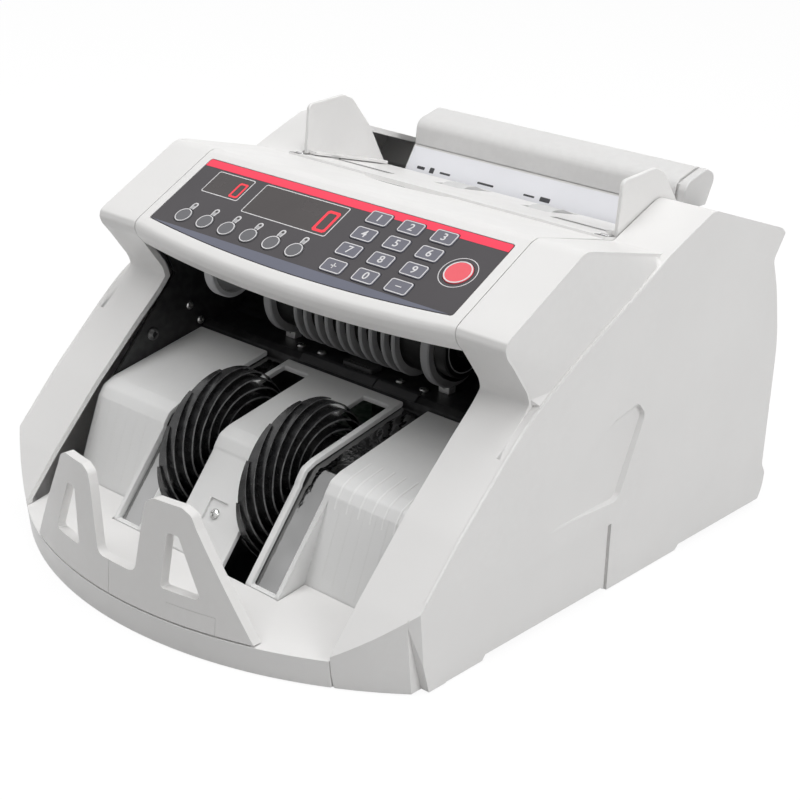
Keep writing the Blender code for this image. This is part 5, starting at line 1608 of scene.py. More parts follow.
@dataclass
class KeyPanel:
    """The printed film over the display windows, and the keys in it."""

    film_depth: float = 0.0015
    print_depth: float = 0.00008
    line: float = 0.00045
    clearance: float = 0.0003
    corner: float = 0.0013
    strip_length: float = 0.0046
    strip_corner: float = 0.0011
    band_edge: float = 0.00018
    band_end: float = 0.002
    pane_corners: Point = (0.0008, 0.0011)
    nought_share: Point = (0.58, 0.112)
    nought_margin: Point = (0.105, 0.095)
    nought_corners: Point = (0.7, 0.5)
    key_size: Point = (0.0122, 0.0080)
    key_corner: float = 0.0016
    key_proud: float = 0.0004
    key_height: float = 0.0017
    columns: tuple[float, ...] = (0.021504, 0.039697, 0.057899)
    rows: tuple[float, ...] = (0.005203, 0.015892, 0.026581, 0.037270)
    key_ease: float = 0.00025
    key_margin: float = 0.0006
    figure_size: float = 0.0058
    sign_bar: Point = (0.0032, 0.0005)
    restart: Point = (0.077103, 0.021613)
    restart_radius: float = 0.0066
    restart_margin: float = 0.0002
    restart_rings: Point = (0.00215, 0.0018)
    restart_sides: int = 56
    function_first: Point = (-0.074000, 0.006902)
    function_pitch: float = 0.014098
    function_radius: float = 0.0045
    function_margin: float = 0.0003
    function_sides: int = 40
    neck_foot: Point = (0.0004, 0.0040)
    neck_tip: Point = (0.0008, 0.0076)
    neck_radii: Point = (0.0016, 0.0012)
    neck_tilt: float = 0.11
    neck_steps: int = 12
    eye_radius: float = 0.00068
    figures: tuple[tuple[str, ...], ...] = (
        ("key_add", "key_0", "key_clear"),
        ("key_7", "key_8", "key_9"),
        ("key_4", "key_5", "key_6"),
        ("key_1", "key_2", "key_3"),
    )

    def build(self) -> None:
        """Builds the film, its print, the windows and the keys."""
        self._film()
        self._prints()
        for name, window, tall in (("batch", BATCH_WINDOW, 0.0098), ("count", COUNT_WINDOW, 0.0136)):
            self._window(name, window, tall)
        for row, names in zip(self.rows, self.figures):
            for column, name in zip(self.columns, names):
                self._number_key(name, (column, row))
        for number, centre in enumerate(self._function_centres()):
            self._function_key(number + 1, centre)
        self._restart_key()

    def _placed(self, name: str, shape: Shape, coat: Finish, body: str = "housing") -> Piece:
        """A piece made in the panel's plane and laid on the machine."""
        return Piece(name, shape).move(PANEL.matrix).finish(coat, body)

    def _function_centres(self) -> list[Point]:
        """The middles of the six function keys."""
        x, y = self.function_first
        return [(x + number * self.function_pitch, y) for number in range(6)]

    def _holes(self) -> list[list[Point]]:
        """The film's openings for the keys.

        Returns:
            Their outlines.
        """
        gap = self.clearance
        size = (self.key_size[0] + 2 * gap, self.key_size[1] + 2 * gap)
        places = [(column, row) for row in self.rows for column in self.columns]
        holes = [rounded_rectangle(place, size, self.key_corner + gap) for place in places]
        centres = self._function_centres()
        holes += [circle(self.function_radius + gap, self.function_sides, centre) for centre in centres]
        return [*holes, circle(self.restart_radius + gap, 48, self.restart)]

    def _film(self) -> None:
        """The charcoal film, open over the keys."""
        film = Piece("film", prism(Axis.Z, PANEL.outline(0.0, self.corner), -self.film_depth, 0.0, ease=0.00012))
        film.cut(*(prism(Axis.Z, hole, -2 * self.film_depth, PLAN.over) for hole in self._holes()))
        film.move(PANEL.matrix).finish(FILM, replaced=("keypad_overlay",))

    def _prints(self) -> None:
        """The red strip at the top and the blue-grey lens at the bottom."""
        top = PANEL.length - self.band_edge
        wide = PANEL.half - self.band_edge
        strip = rectangle((-wide, wide), (top - self.strip_length, top))
        strip = fillet(strip, self.strip_corner, (2, 3), 5)
        red = Piece("red_strip", prism(Axis.Z, strip, 0.0, self.print_depth))
        low = top - self.strip_length
        reaching = [hole for hole in self._holes() if max(y for _, y in hole) > low]
        red.cut(*(prism(Axis.Z, hole, -PLAN.over, PLAN.over) for hole in reaching))
        red.move(PANEL.matrix).finish(FILM_RED)
        edge = [(x, PANEL.lower(x) + self.band_edge) for x in stations(-wide, wide, 60)]
        lens = [point for point in edge if point[1] < -0.0002]
        lens = [(lens[0][0] - self.band_end, 0.0), *lens, (lens[-1][0] + self.band_end, 0.0)]
        self._placed("blue_band", prism(Axis.Z, lens, 0.0, self.print_depth), FILM_BAND)

    def _window(self, name: str, window: tuple[Point, Point], tall: float) -> None:
        """A dark window with its white outline and a lit nought.

        Args:
            name: Its name.
            window: Its limits in the panel's plane.
            tall: The figure's height.
        """
        (x0, x1), (y0, y1) = window
        middle, size = ((x0 + x1) / 2, (y0 + y1) / 2), (x1 - x0, y1 - y0)
        pane = rounded_rectangle(middle, size, self.pane_corners[0])
        self._placed(f"{name}_pane", prism(Axis.Z, pane, 0.0, self.print_depth), WINDOW)
        outer_size = (size[0] + 2 * self.line, size[1] + 2 * self.line)
        outer = rounded_rectangle(middle, outer_size, self.pane_corners[1])
        self._placed(f"{name}_outline", frame_ring(outer, pane, 0.0, self.print_depth), PRINT_WHITE)
        wide, thick = (tall * share for share in self.nought_share)
        aside, above = (tall * share for share in self.nought_margin)
        centre = (x1 - aside - wide / 2, y0 + above + tall / 2)
        rings = []
        for cut, corner in zip((0.0, 2 * thick), self.nought_corners):
            corners = rectangle(spread(centre[0], wide - cut), spread(centre[1], tall - cut))
            rings.append(fillet(corners, thick * corner, steps=1))
        nought = frame_ring(*rings, self.print_depth, 1.5 * self.print_depth)
        self._placed(f"{name}_nought", nought, DIGIT_RED)

    def _key(self, name: str, ring: str, outlines: Sequence[list[Point]], coat: Finish) -> None:
        """A key's cap on its own body, with a white line round its face.

        Args:
            name: The key's name.
            ring: The line's name.
            outlines: Its face's, then the line's outer and inner one.
            coat: Its finish.
        """
        face, *edges = outlines
        top = self.key_proud
        cap = Piece(f"{name}_face", prism(Axis.Z, face, top - self.key_height, top, self.key_ease))
        cap.move(PANEL.matrix).finish(coat, f"{name}_cap", (name,))
        self._placed(ring, frame_ring(*edges, top, top + self.print_depth), PRINT_WHITE, f"{name}_cap")

    def _number_key(self, name: str, centre: Point) -> None:
        """A rounded key with its white outline and its figure.

        Args:
            name: The key's name.
            centre: Its middle.
        """
        outlines = [
            rounded_rectangle(centre, (self.key_size[0] - cut, self.key_size[1] - cut), self.key_corner - cut / 2)
            for cut in (0.0, self.key_margin, self.key_margin + 2 * self.line)
        ]
        self._key(name, f"{name}_outline", outlines, KEY_FILL)
        figure = name.removeprefix("key_")
        if figure.isdigit():
            shape = lettering(figure, self.figure_size, self.print_depth)
        else:
            long, thin = (spread(0.0, size) for size in self.sign_bar)
            bars = [rectangle(long, thin)] + [rectangle(thin, long)] * (figure == "add")
            shape = gathered(prism(Axis.Z, bar, 0.0, self.print_depth) for bar in bars)
        shape.transform(Matrix.Translation((*centre, self.key_proud + self.print_depth / 2)))
        self._placed(f"{name}_figure", shape, PRINT_WHITE, f"{name}_cap")

    def _function_key(self, number: int, centre: Point) -> None:
        """A round key with a white ring, and the loop round its lamp.

        Args:
            number: The key's number.
            centre: Its middle.
        """
        name = f"function_key_{number}"
        cuts = (0.0, self.function_margin, self.function_margin + self.line)
        outlines = [circle(self.function_radius - cut, self.function_sides, centre) for cut in cuts]
        self._key(name, f"{name}_ring", outlines, KEY_GREY)
        self._neck(number, centre)

    def _neck(self, number: int, centre: Point) -> None:
        """The pale neck above a function key, with its lamp near the tip.

        Args:
            number: The key's number.
            centre: The key's centre.
        """
        foot = Vector(centre) + Vector(self.neck_foot)
        tip = Vector(centre) + Vector(self.neck_tip)
        shapes = []
        for inner in (0.0, self.line):
            points = []
            for middle, start, radius in ((tip, 0.0, self.neck_radii[0]), (foot, math.pi, self.neck_radii[1])):
                for step in range(self.neck_steps + 1):
                    angle = start + math.pi * step / self.neck_steps - self.neck_tilt
                    reach = radius - inner
                    points.append((middle.x + reach * math.cos(angle), middle.y + reach * math.sin(angle)))
            shapes.append(points)
        ring_cut = circle(self.function_radius + self.clearance + 0.0001, self.function_sides, centre)
        for part, shape, coat in (
            ("edge", frame_ring(*shapes, 0.0, self.print_depth), PRINT_WHITE),
            ("fill", prism(Axis.Z, shapes[1], 0.0, self.print_depth * 0.9), NECK_GREY),
        ):
            neck = Piece(f"lamp_{number}_{part}", shape)
            neck.cut(prism(Axis.Z, ring_cut, -0.001, 0.001))
            neck.move(PANEL.matrix).finish(coat)
        eye = circle(self.eye_radius, 20, (tip.x, tip.y))
        self._placed(f"lamp_{number}_eye", prism(Axis.Z, eye, 0.0, 1.3 * self.print_depth), WINDOW)

    def _restart_key(self) -> None:
        """The red key with its two white rings."""
        cuts = (0.0, self.restart_margin, self.restart_margin + 1.4 * self.line)
        outlines = [circle(self.restart_radius - cut, self.restart_sides, self.restart) for cut in cuts]
        self._key("restart_key", "restart_ring", outlines, KEY_RED)
        outer = [circle(self.restart_radius + grow, self.restart_sides, self.restart) for grow in self.restart_rings]
        self._placed("restart_outer_ring", frame_ring(*outer, 0.0, self.print_depth), PRINT_WHITE)


@dataclass
class StackerDeck:
    """The white deck with its slots, its polished strips and the lines over its front."""

    wall: float = 0.0025
    half: float = 0.0966
    nose_half: float = 0.0525
    channel: float = 0.043
    channel_width: float = 0.014
    slot_half: float = 0.0077
    strip: float = 0.001
    line_width: float = 0.0008
    line_count: int = 6
    first_line: float = 0.0575
    line_pitch: float = 0.0065
    screw_share: float = 0.62
    screw_radius: float = 0.0024
    screw_sunk: float = 0.00105
    corner: float = 0.005
    rounding: float = 0.0007
    floor_gap: float = 0.0003
    axle_room: Point = (0.012, 0.006)
    slot_rear: float = 0.0407
    groove_share: float = 0.03
    groove_depth: float = 0.00008
    well_reach: Point = (0.0062, 0.0048)
    well_depth: float = 0.0011
    well_half: float = 0.0052
    strip_reach: Point = (-0.0082, 0.0067)
    strip_corner: float = 0.004
    line_rise: float = 0.00016
    line_thickness: float = 0.0004
    line_limits: Point = (-0.066, 0.03)
    line_start: float = -0.0680
    line_run: float = 0.0045

    def build(self) -> None:
        """Builds the deck, the strips and the small parts on them."""
        self._deck()
        for side in Side:
            self._strip(side)
        self._lines()
        self._screw()

    def _solid(self, shares: Shares, half: float) -> Shape:
        """The solid under one profile, down to the pan.

        Args:
            shares: The profile.
            half: Half its width.

        Returns:
            The solid.
        """
        line = fillet(PLAN.deck_line(shares), self.corner, range(1, len(shares) - 1), 5, closed=False)
        floor = PLAN.pan_top + self.floor_gap
        return prism(Axis.X, [(line[0][0], floor), *line, (line[-1][0], floor)], -half, half)

    def _space(self, shares: Shares, half: float) -> Shape:
        """The space under one profile, open at the bottom and the rear.

        Args:
            shares: The profile.
            half: Half the space's width.

        Returns:
            The shape to cut.
        """
        line = offset_line(PLAN.deck_line(shares), -self.wall)
        rear = line[0][0] + PLAN.over
        top = line[0][1] + (line[0][1] - line[1][1]) / (line[0][0] - line[1][0]) * PLAN.over
        return prism(Axis.X, [(rear, 0.0), (rear, top), *line[1:], (line[-1][0], 0.0)], -half, half)

    def _deck(self) -> None:
        """The deck itself."""
        deck = Piece("deck", self._solid(DECK_BLOCK, self.half))
        deck.join(self._solid(DECK_NOSE, self.nose_half))
        for shares, half in ((DECK_BLOCK, self.half), (DECK_NOSE, self.nose_half)):
            deck.cut(self._space(shares, half - self.wall))
        y, z = PLAN.stacker
        half = PLAN.inner_half + PLAN.over
        deck.cut(block((-half, half), spread(y, self.axle_room[0]), (0.0, z + self.axle_room[1])))
        nose = PLAN.deck_line(DECK_NOSE)
        for side in Side:
            x = spread(side.value * PLAN.wheel_centre, 2 * self.slot_half)
            deck.cut(block(x, (-PLAN.depth, y + self.slot_rear), (0.0, PLAN.height)))
            x = spread(side.value * self.channel, self.channel_width)
            deck.cut(block(x, (-PLAN.depth, nose[0][0] + PLAN.over), (nose[-1][1], PLAN.height)))
        deck.soften(self.rounding)
        for side in Side:
            places = [self.first_line + self.line_pitch * (number + 0.5) for number in range(self.line_count)]
            deck.cut(gathered(self._groove(side.value * place) for place in places))
        deck.cut(self._screw_well())
        deck.finish(DECK_WHITE, replaced=("stacker_deck",))

    def _groove(self, x: float) -> Shape:
        """One fine groove down the front of an outer block.

        Args:
            x: The groove's middle.

        Returns:
            The shape to cut.
        """
        start, end = PLAN.deck_line(DECK_BLOCK)[-2:]
        share = self.groove_share
        run = [start, (end[0] + (start[0] - end[0]) * share, end[1] + (start[1] - end[1]) * share)]
        inner, outer = offset_line(run, -self.groove_depth), offset_line(run, 0.001)
        return prism(Axis.X, inner + outer[::-1], *spread(x, self.line_width))

    def _screw_well(self) -> Shape:
        """The slanting recess round the deck's screw.

        Returns:
            The shape to cut.
        """
        start, end = (Vector(point) for point in PLAN.deck_line(DECK_NOSE)[-2:])
        along = (end - start).normalized()
        middle = start + (end - start) * self.screw_share
        run = [tuple(middle - along * self.well_reach[0]), tuple(middle + along * self.well_reach[1])]
        points = offset_line(run, -self.well_depth) + offset_line(run, PLAN.over)[::-1]
        return prism(Axis.X, points, -self.well_half, self.well_half)

    def _strip(self, side: Side) -> None:
        """One polished strip under the deck's skin.

        Args:
            side: Which side.
        """
        line = PLAN.deck_line(DECK_NOSE)
        sink = self.wall + self.floor_gap
        upper, lower = (offset_line(line, -depth) for depth in (sink, sink + self.strip))
        foot = line[-1][1] - self.wall / 2
        share = (upper[-2][1] - foot) / (upper[-2][1] - upper[-1][1])
        shift = (share - 1) * (upper[-1][0] - upper[-2][0])
        for run in (upper, lower):
            run[0] = (line[0][0], run[0][1])
            run[-1] = (run[-1][0] + shift, foot)
        upper, lower = (fillet(run, self.strip_corner, range(1, 3), 6, closed=False) for run in (upper, lower))
        inner, outer = (side.value * (self.channel + reach) for reach in self.strip_reach)
        strip = Piece(f"{side.word}_strip", prism(Axis.X, upper + lower[::-1], inner, outer, ease=0.0003))
        strip.finish(POLISHED, replaced=(f"{side.word}_guide_strip",))

    def _lines(self) -> None:
        """Fine raised lines over the front edge of the right block, coloured lighter than the deck as a painted
        highlight.
        """
        run = fillet(PLAN.deck_line(DECK_BLOCK), self.corner, range(1, 4), 6, closed=False)
        top = offset_line(run, self.line_rise)
        rear, low = self.line_limits
        start = (self.line_start, on_line(sorted(top), self.line_start))
        upper = [start, *((y, z) for y, z in top if z > low and y < rear), (top[-1][0] + self.line_run, low)]
        under = offset_line(upper, -self.line_thickness)
        shapes = []
        for number in range(self.line_count):
            x = self.first_line + self.line_pitch * number
            shapes.append(prism(Axis.X, upper + under[::-1], *spread(x, self.line_width)))
        Piece("right_deck_lines", gathered(shapes)).finish(DECK_LINE_HIGHLIGHT)

    def _screw(self) -> None:
        """The screw in the recess on the deck's middle."""
        start, end = (Vector((0.0, *point)) for point in PLAN.deck_line(DECK_NOSE)[-2:])
        slope = (end - start).normalized()
        outward = Vector((0.0, slope.z, -slope.y))
        if outward.z < 0:
            outward.negate()
        place = start + (end - start) * self.screw_share - outward * self.screw_sunk
        screw("deck_screw", tuple(place), tuple(outward), self.screw_radius, ZINC)


def screw(name: str, place: Triple, outward: Triple, radius: float, coat: Finish, socket: bool = False) -> None:
    """A small domed screw with a cross or a six-sided socket, on the housing.

    Args:
        name: Its name.
        place: Middle of its head's seat.
        outward: The way it faces.
        radius: Its head's radius.
        coat: Its finish.
        socket: Whether it has a six-sided socket instead of a cross.
    """
    rise = radius * 0.55
    rings = [(radius, 0.0), (radius, rise * 0.35), (radius * 0.86, rise * 0.72), (radius * 0.55, rise * 0.95)]
    rings.append((radius * 0.2, rise))
    head = Piece(name, loft([[(x, y, z) for x, y in circle(r, 24)] for r, z in rings]))
    deep = (rise * 0.45, 2 * rise)
    if socket:
        head.cut(prism(Axis.Z, circle(radius * 0.5, 6), *deep))
    else:
        for wide, long in ((0.26, 1.15), (1.15, 0.26)):
            head.cut(block(spread(0.0, wide * radius), spread(0.0, long * radius), deep))
    start = Vector(place)
    head.move(lines_up(tuple(start), tuple(start + Vector(outward)))).finish(coat)


@dataclass
class StackerWheels:
    """The two wheels with their long swept vanes, pointed at their left face."""

    width: float = 0.013
    hub: float = 0.012
    hub_edge: float = 0.0008
    bore: float = 0.0031
    dish: Triple = (0.0012, 0.0092, 0.0096)
    plug: tuple[Point, Point] = ((0.0014, 0.0052), (0.0002, 0.0050))
    vanes: int = 13
    first: float = math.radians(93.5)
    sweep: float = math.radians(179)
    curve: float = 1.75
    thickness: float = 0.0009
    inset: float = 0.0025
    point_sweep: float = math.radians(92)
    point_width: float = 0.0015
    tip_share: float = 0.5
    steps: int = 44

    def build(self) -> None:
        """Builds both wheels."""
        for side in Side:
            place = Matrix.Translation((side.value * PLAN.wheel_centre, *PLAN.stacker))
            turns = (self.first + math.tau / self.vanes * number for number in range(self.vanes))
            wheel = Piece(f"{side.word}_wheel", gathered(self._vane(turn) for turn in turns)).move(place)
            wheel.finish(WHEEL_RUBBER, "stacker", (f"{side.word}_stacker_wheel",))
            # Sideways faces of the vanes and the hub take a lighter grey: painted highlight.
            wheel.side_faces(WHEEL_SIDE_HIGHLIGHT)
            self._hub(f"{side.word}_wheel_hub").move(place).finish(WHEEL_SIDE_HIGHLIGHT, "stacker")

    def _hub(self, name: str) -> Piece:
        """A wheel's hub with its dished faces, about its own centre.

        Args:
            name: Its name.

        Returns:
            The piece.
        """
        half, edge = self.width / 2, self.hub_edge
        near = [(half - edge, self.hub), (half, self.hub - edge)]
        hub = Piece(name, turned([(-x, radius) for x, radius in near[::-1]] + near, 64)).cut(self._bore())
        sunk, inner, outer = self.dish
        for way in (-1, 1):
            dish = [(way * (half - sunk), inner), (way * 2 * half, outer)]
            plug = [(way * (half - deep), radius) for deep, radius in self.plug]
            hub.cut(turned(dish, 48)).join(turned(plug, 48))
        return hub.cut(self._bore())

    def _bore(self) -> Shape:
        """The hole for the shaft."""
        return prism(Axis.X, circle(self.bore, 32), -self.width, self.width)

    def _vane(self, tip_angle: float) -> Shape:
        """One vane from its tip in to the hub.

        Args:
            tip_angle: Where its tip stands on the wheel.

        Returns:
            The vane, about the wheel's own centre.
        """
        outer = PLAN.wheel_radius - self.thickness / 2
        inner = self.hub - self.thickness
        path = []
        for share in stations(0.0, 1.0, self.steps):
            radius = outer - (outer - inner) * share**self.curve
            angle = tip_angle + self.sweep * share
            path.append((radius * math.cos(angle), radius * math.sin(angle)))
        left, width = -self.width / 2, self.width - self.inset
        sections = []
        for index, ((y, z), (away_y, away_z)) in enumerate(zip(path, offset_line(path, 1.0))):
            reach = min(1.0, index / self.steps * self.sweep / self.point_sweep)
            reach = 1 - (1 - reach) ** 1.3
            right = left + self.point_width + (width - self.point_width) * reach
            half = self.thickness / 2 * (self.tip_share + (1 - self.tip_share) * reach)
            out = (y + half * (away_y - y), z + half * (away_z - z))
            back = (y - half * (away_y - y), z - half * (away_z - z))
            sections.append([(left, *out), (right, *out), (right, *back), (left, *back)])
        return loft(sections)


@dataclass
class Rollers:
    """The counting roller, the pull wheels and their shafts."""

    core: float = 0.0172
    radius: float = 0.021
    pairs: int = 5
    pitch: float = 0.0135
    gap: float = 0.0062
    ring: float = 0.0022
    tyre_centre: float = 0.0484
    tyre_width: float = 0.005
    pull_centre: float = 0.0705
    pull_radius: float = 0.0152
    pull_width: float = 0.006
    bore: float = 0.00315
    soft: float = 0.0006
    sunk: float = 0.001
    pull_edge: float = 0.0006
    pull_hub: Point = (0.0040, 0.0055)
    pull_dish: Point = (0.0018, 0.0004)
    pull_rim: float = 0.0030
    pull_ring: float = 0.0005
    pull_ring_proud: float = 0.0002
    sides: int = 72

    def build(self) -> None:
        """Builds what turns in the throat."""
        bands = [(-self.tyre_centre, self.tyre_width), (self.tyre_centre, self.tyre_width)]
        for pair in range(self.pairs):
            middle = (pair - (self.pairs - 1) / 2) * self.pitch
            bands += [(middle - self.gap / 2, self.ring), (middle + self.gap / 2, self.ring)]
        end = self.tyre_centre + self.tyre_width
        core = [(-end, self.core), (end, self.core)]
        self._turned("counting_core", core, PLAN.counting, CORE_DARK, "counting_drum", ("counting_roller",))
        for number, (centre, width) in enumerate(sorted(bands)):
            soft = min(self.soft, width / 4)
            low, high = spread(centre, width)
            profile = [
                (low, self.core - self.sunk), (low, self.radius - soft), (low + soft, self.radius),
                (high - soft, self.radius), (high, self.radius - soft), (high, self.core - self.sunk),
            ]
            self._turned(f"counting_ring_{number + 1}", profile, PLAN.counting, RING_GREY, "counting_drum")
        for side in Side:
            self._pull_wheel(side)

    def _turned(
        self, name: str, profile: Sequence[Point], centre: Point, coat: Finish, body: str, replaced: Iterable[str] = ()
    ) -> None:
        """A turned piece bored for its shaft.

        Args:
            name: Its name.
            profile: Its (x, radius) stations.
            centre: Its axis in the side view.
            coat: Its finish.
            body: The body that it rides on.
            replaced: The nodes that it stands for.
        """
        made = Piece(name, turned(profile, self.sides, centre))
        low, high = profile[0][0] - PLAN.over, profile[-1][0] + PLAN.over
        made.cut(prism(Axis.X, circle(self.bore, 32, centre), low, high))
        made.finish(coat, body, replaced)

    def _pull_wheel(self, side: Side) -> None:
        """A wheel with dished faces and a grey ring at its rim's inner edge, pale on the left. The right one is
        coloured near black as painted shadow, and its ring is a painted highlight.

        Args:
            side: Which side.
        """
        x, half, edge = side.value * self.pull_centre, self.pull_width / 2, self.pull_edge
        (eye, hub), (dish, slant), rim = self.pull_hub, self.pull_dish, self.pull_radius - self.pull_rim
        run = [
            (-half, eye), (-half, hub), (-half + dish, hub + slant), (-half + dish, rim - slant), (-half, rim),
            (-half, self.pull_radius - edge), (-half + edge, self.pull_radius),
        ]
        profile = [(x + along, radius) for along, radius in run + [(-a, r) for a, r in run[::-1]]]
        # The right wheel takes the near black core colour: painted shadow.
        coat = PULL_PALE if side is Side.LEFT else CORE_DARK
        self._turned(f"{side.word}_pull", profile, PLAN.pull, coat, "pull_rollers", (f"{side.word}_pull_wheel",))
        # The thin grey ring at the rim's inner edge: on the dark right wheel a painted highlight.
        outer, inner = (circle(radius, self.sides, PLAN.pull) for radius in (rim + self.pull_ring, rim))
        ring = Piece(f"{side.word}_pull_ring", prism(Axis.X, outer, *spread(x, 2 * half + self.pull_ring_proud)))
        ring.cut(prism(Axis.X, inner, x - 2 * half, x + 2 * half))
        ring.finish(RING_GREY, "pull_rollers")


@dataclass
class Throat:
    """The black plates round the rollers, with their screws, sensors and guide bars."""

    nodes: Nodes
    ledge: float = 0.07994
    ledge_screws: tuple[float, ...] = (-0.0379, -0.0244, 0.0249, 0.0388)
    ledge_screw_y: float = -0.0128
    sensors: tuple[float, ...] = (-0.0494, 0.0468)
    sensor_y: float = -0.0063
    bars: tuple[Point, ...] = ((-0.0297, 0.0167), (0.0170, 0.0419))
    plate_screws: tuple[Point, ...] = ((-0.0308, 0.0888), (-0.0234, 0.0797))
    plate_socket: Point = (-0.0544, 0.0794)
    screw_radii: Triple = (0.0023, 0.0021, 0.0032)
    sensor_size: Triple = (0.0062, 0.0052, 0.0034)
    sensor_slot: Triple = (0.0012, 0.0070, 0.0024)
    sensor_ease: float = 0.0005
    bar_line: tuple[Point, ...] = ((-0.02245, 0.0772), (-0.01960, 0.0797), (-0.0178, 0.07985))
    bar_gap: float = 0.0002
    block_outline: tuple[Point, ...] = (
        (-0.0080, -0.0165), (0.0100, -0.0165), (0.0100, -0.0085), (0.0060, -0.0065), (-0.0050, -0.0065),
        (-0.0080, -0.0085),
    )
    block_height: float = 0.0022
    block_slot: tuple[Point, Point, Point] = ((-0.0060, 0.0080), (-0.0148, -0.0138), (0.0016, 0.0040))

    def build(self) -> None:
        """Dresses the plates and adds what sits on them."""
        keep(self.nodes["cross_plate"], SATIN_BLACK, 0.0003)
        for side in Side:
            keep(self.nodes[f"{side.word}_frame_plate"], SATIN_BLACK, 0.0003)
        for number, x in enumerate(self.ledge_screws):
            place = (x, self.ledge_screw_y, self.ledge)
            screw(f"ledge_screw_{number + 1}", place, (0.0, 0.0, 1.0), self.screw_radii[0], ZINC)
        for number, x in enumerate(self.sensors):
            self._sensor(number, x)
        for number, bar in enumerate(self.bars):
            self._bar(number, bar)
        self._block()
        for side in Side:
            self._plate_screws(side)

    def _sensor(self, number: int, x: float) -> None:
        """A silver sensor block on the ledge.

        Args:
            number: Its number.
            x: Its middle.
        """
        y, base = self.sensor_y, self.ledge
        wide, deep, tall = self.sensor_size
        shape = block(spread(x, wide), spread(y, deep), (base, base + tall), self.sensor_ease)
        wide, deep, low = self.sensor_slot
        body = Piece(f"sensor_{number + 1}", shape)
        body.cut(block(spread(x, wide), spread(y, deep), (base + low, base + 0.0060)))
        body.finish(SENSOR_GREY)

    def _bar(self, number: int, reach: Point) -> None:
        """A low guide bar along the plate's front edge.

        Args:
            number: Its number.
            reach: Its ends.
        """
        run = fillet(offset_line(self.bar_line, -0.0001), 0.0015, (1,), closed=False)
        over = fillet(offset_line(self.bar_line, -0.0010), 0.0018, (1,), closed=False)
        if signed_area(run + over[::-1]) > 0:
            run, over = over, run
        gap = self.bar_gap
        bar = prism(Axis.X, run + over[::-1], reach[0] + gap, reach[1] - gap, ease=0.0002)
        Piece(f"guide_bar_{number + 1}", bar).finish(BAR_GREY)

    def _block(self) -> None:
        """The low black housing in the middle of the ledge."""
        points = fillet(self.block_outline, 0.001, steps=3)
        body = Piece("ledge_block", prism(Axis.Z, points, self.ledge, self.ledge + self.block_height, ease=0.0004))
        x, y, (low, high) = self.block_slot
        body.cut(block(x, y, (self.ledge + low, self.ledge + high)))
        body.finish(INNER_BLACK)

    def _plate_screws(self, side: Side) -> None:
        """The screws that hold the cross plate to one frame plate.

        Args:
            side: Which side.
        """
        x = side.value * PLAN.frame_face
        inward = (float(-side.value), 0.0, 0.0)
        for number, (y, z) in enumerate(self.plate_screws):
            screw(f"{side.word}_plate_screw_{number + 1}", (x, y, z), inward, self.screw_radii[1], ZINC)
        place = (x, *self.plate_socket)
        screw(f"{side.word}_plate_socket", place, inward, self.screw_radii[2], CHIP_BLACK, socket=True)


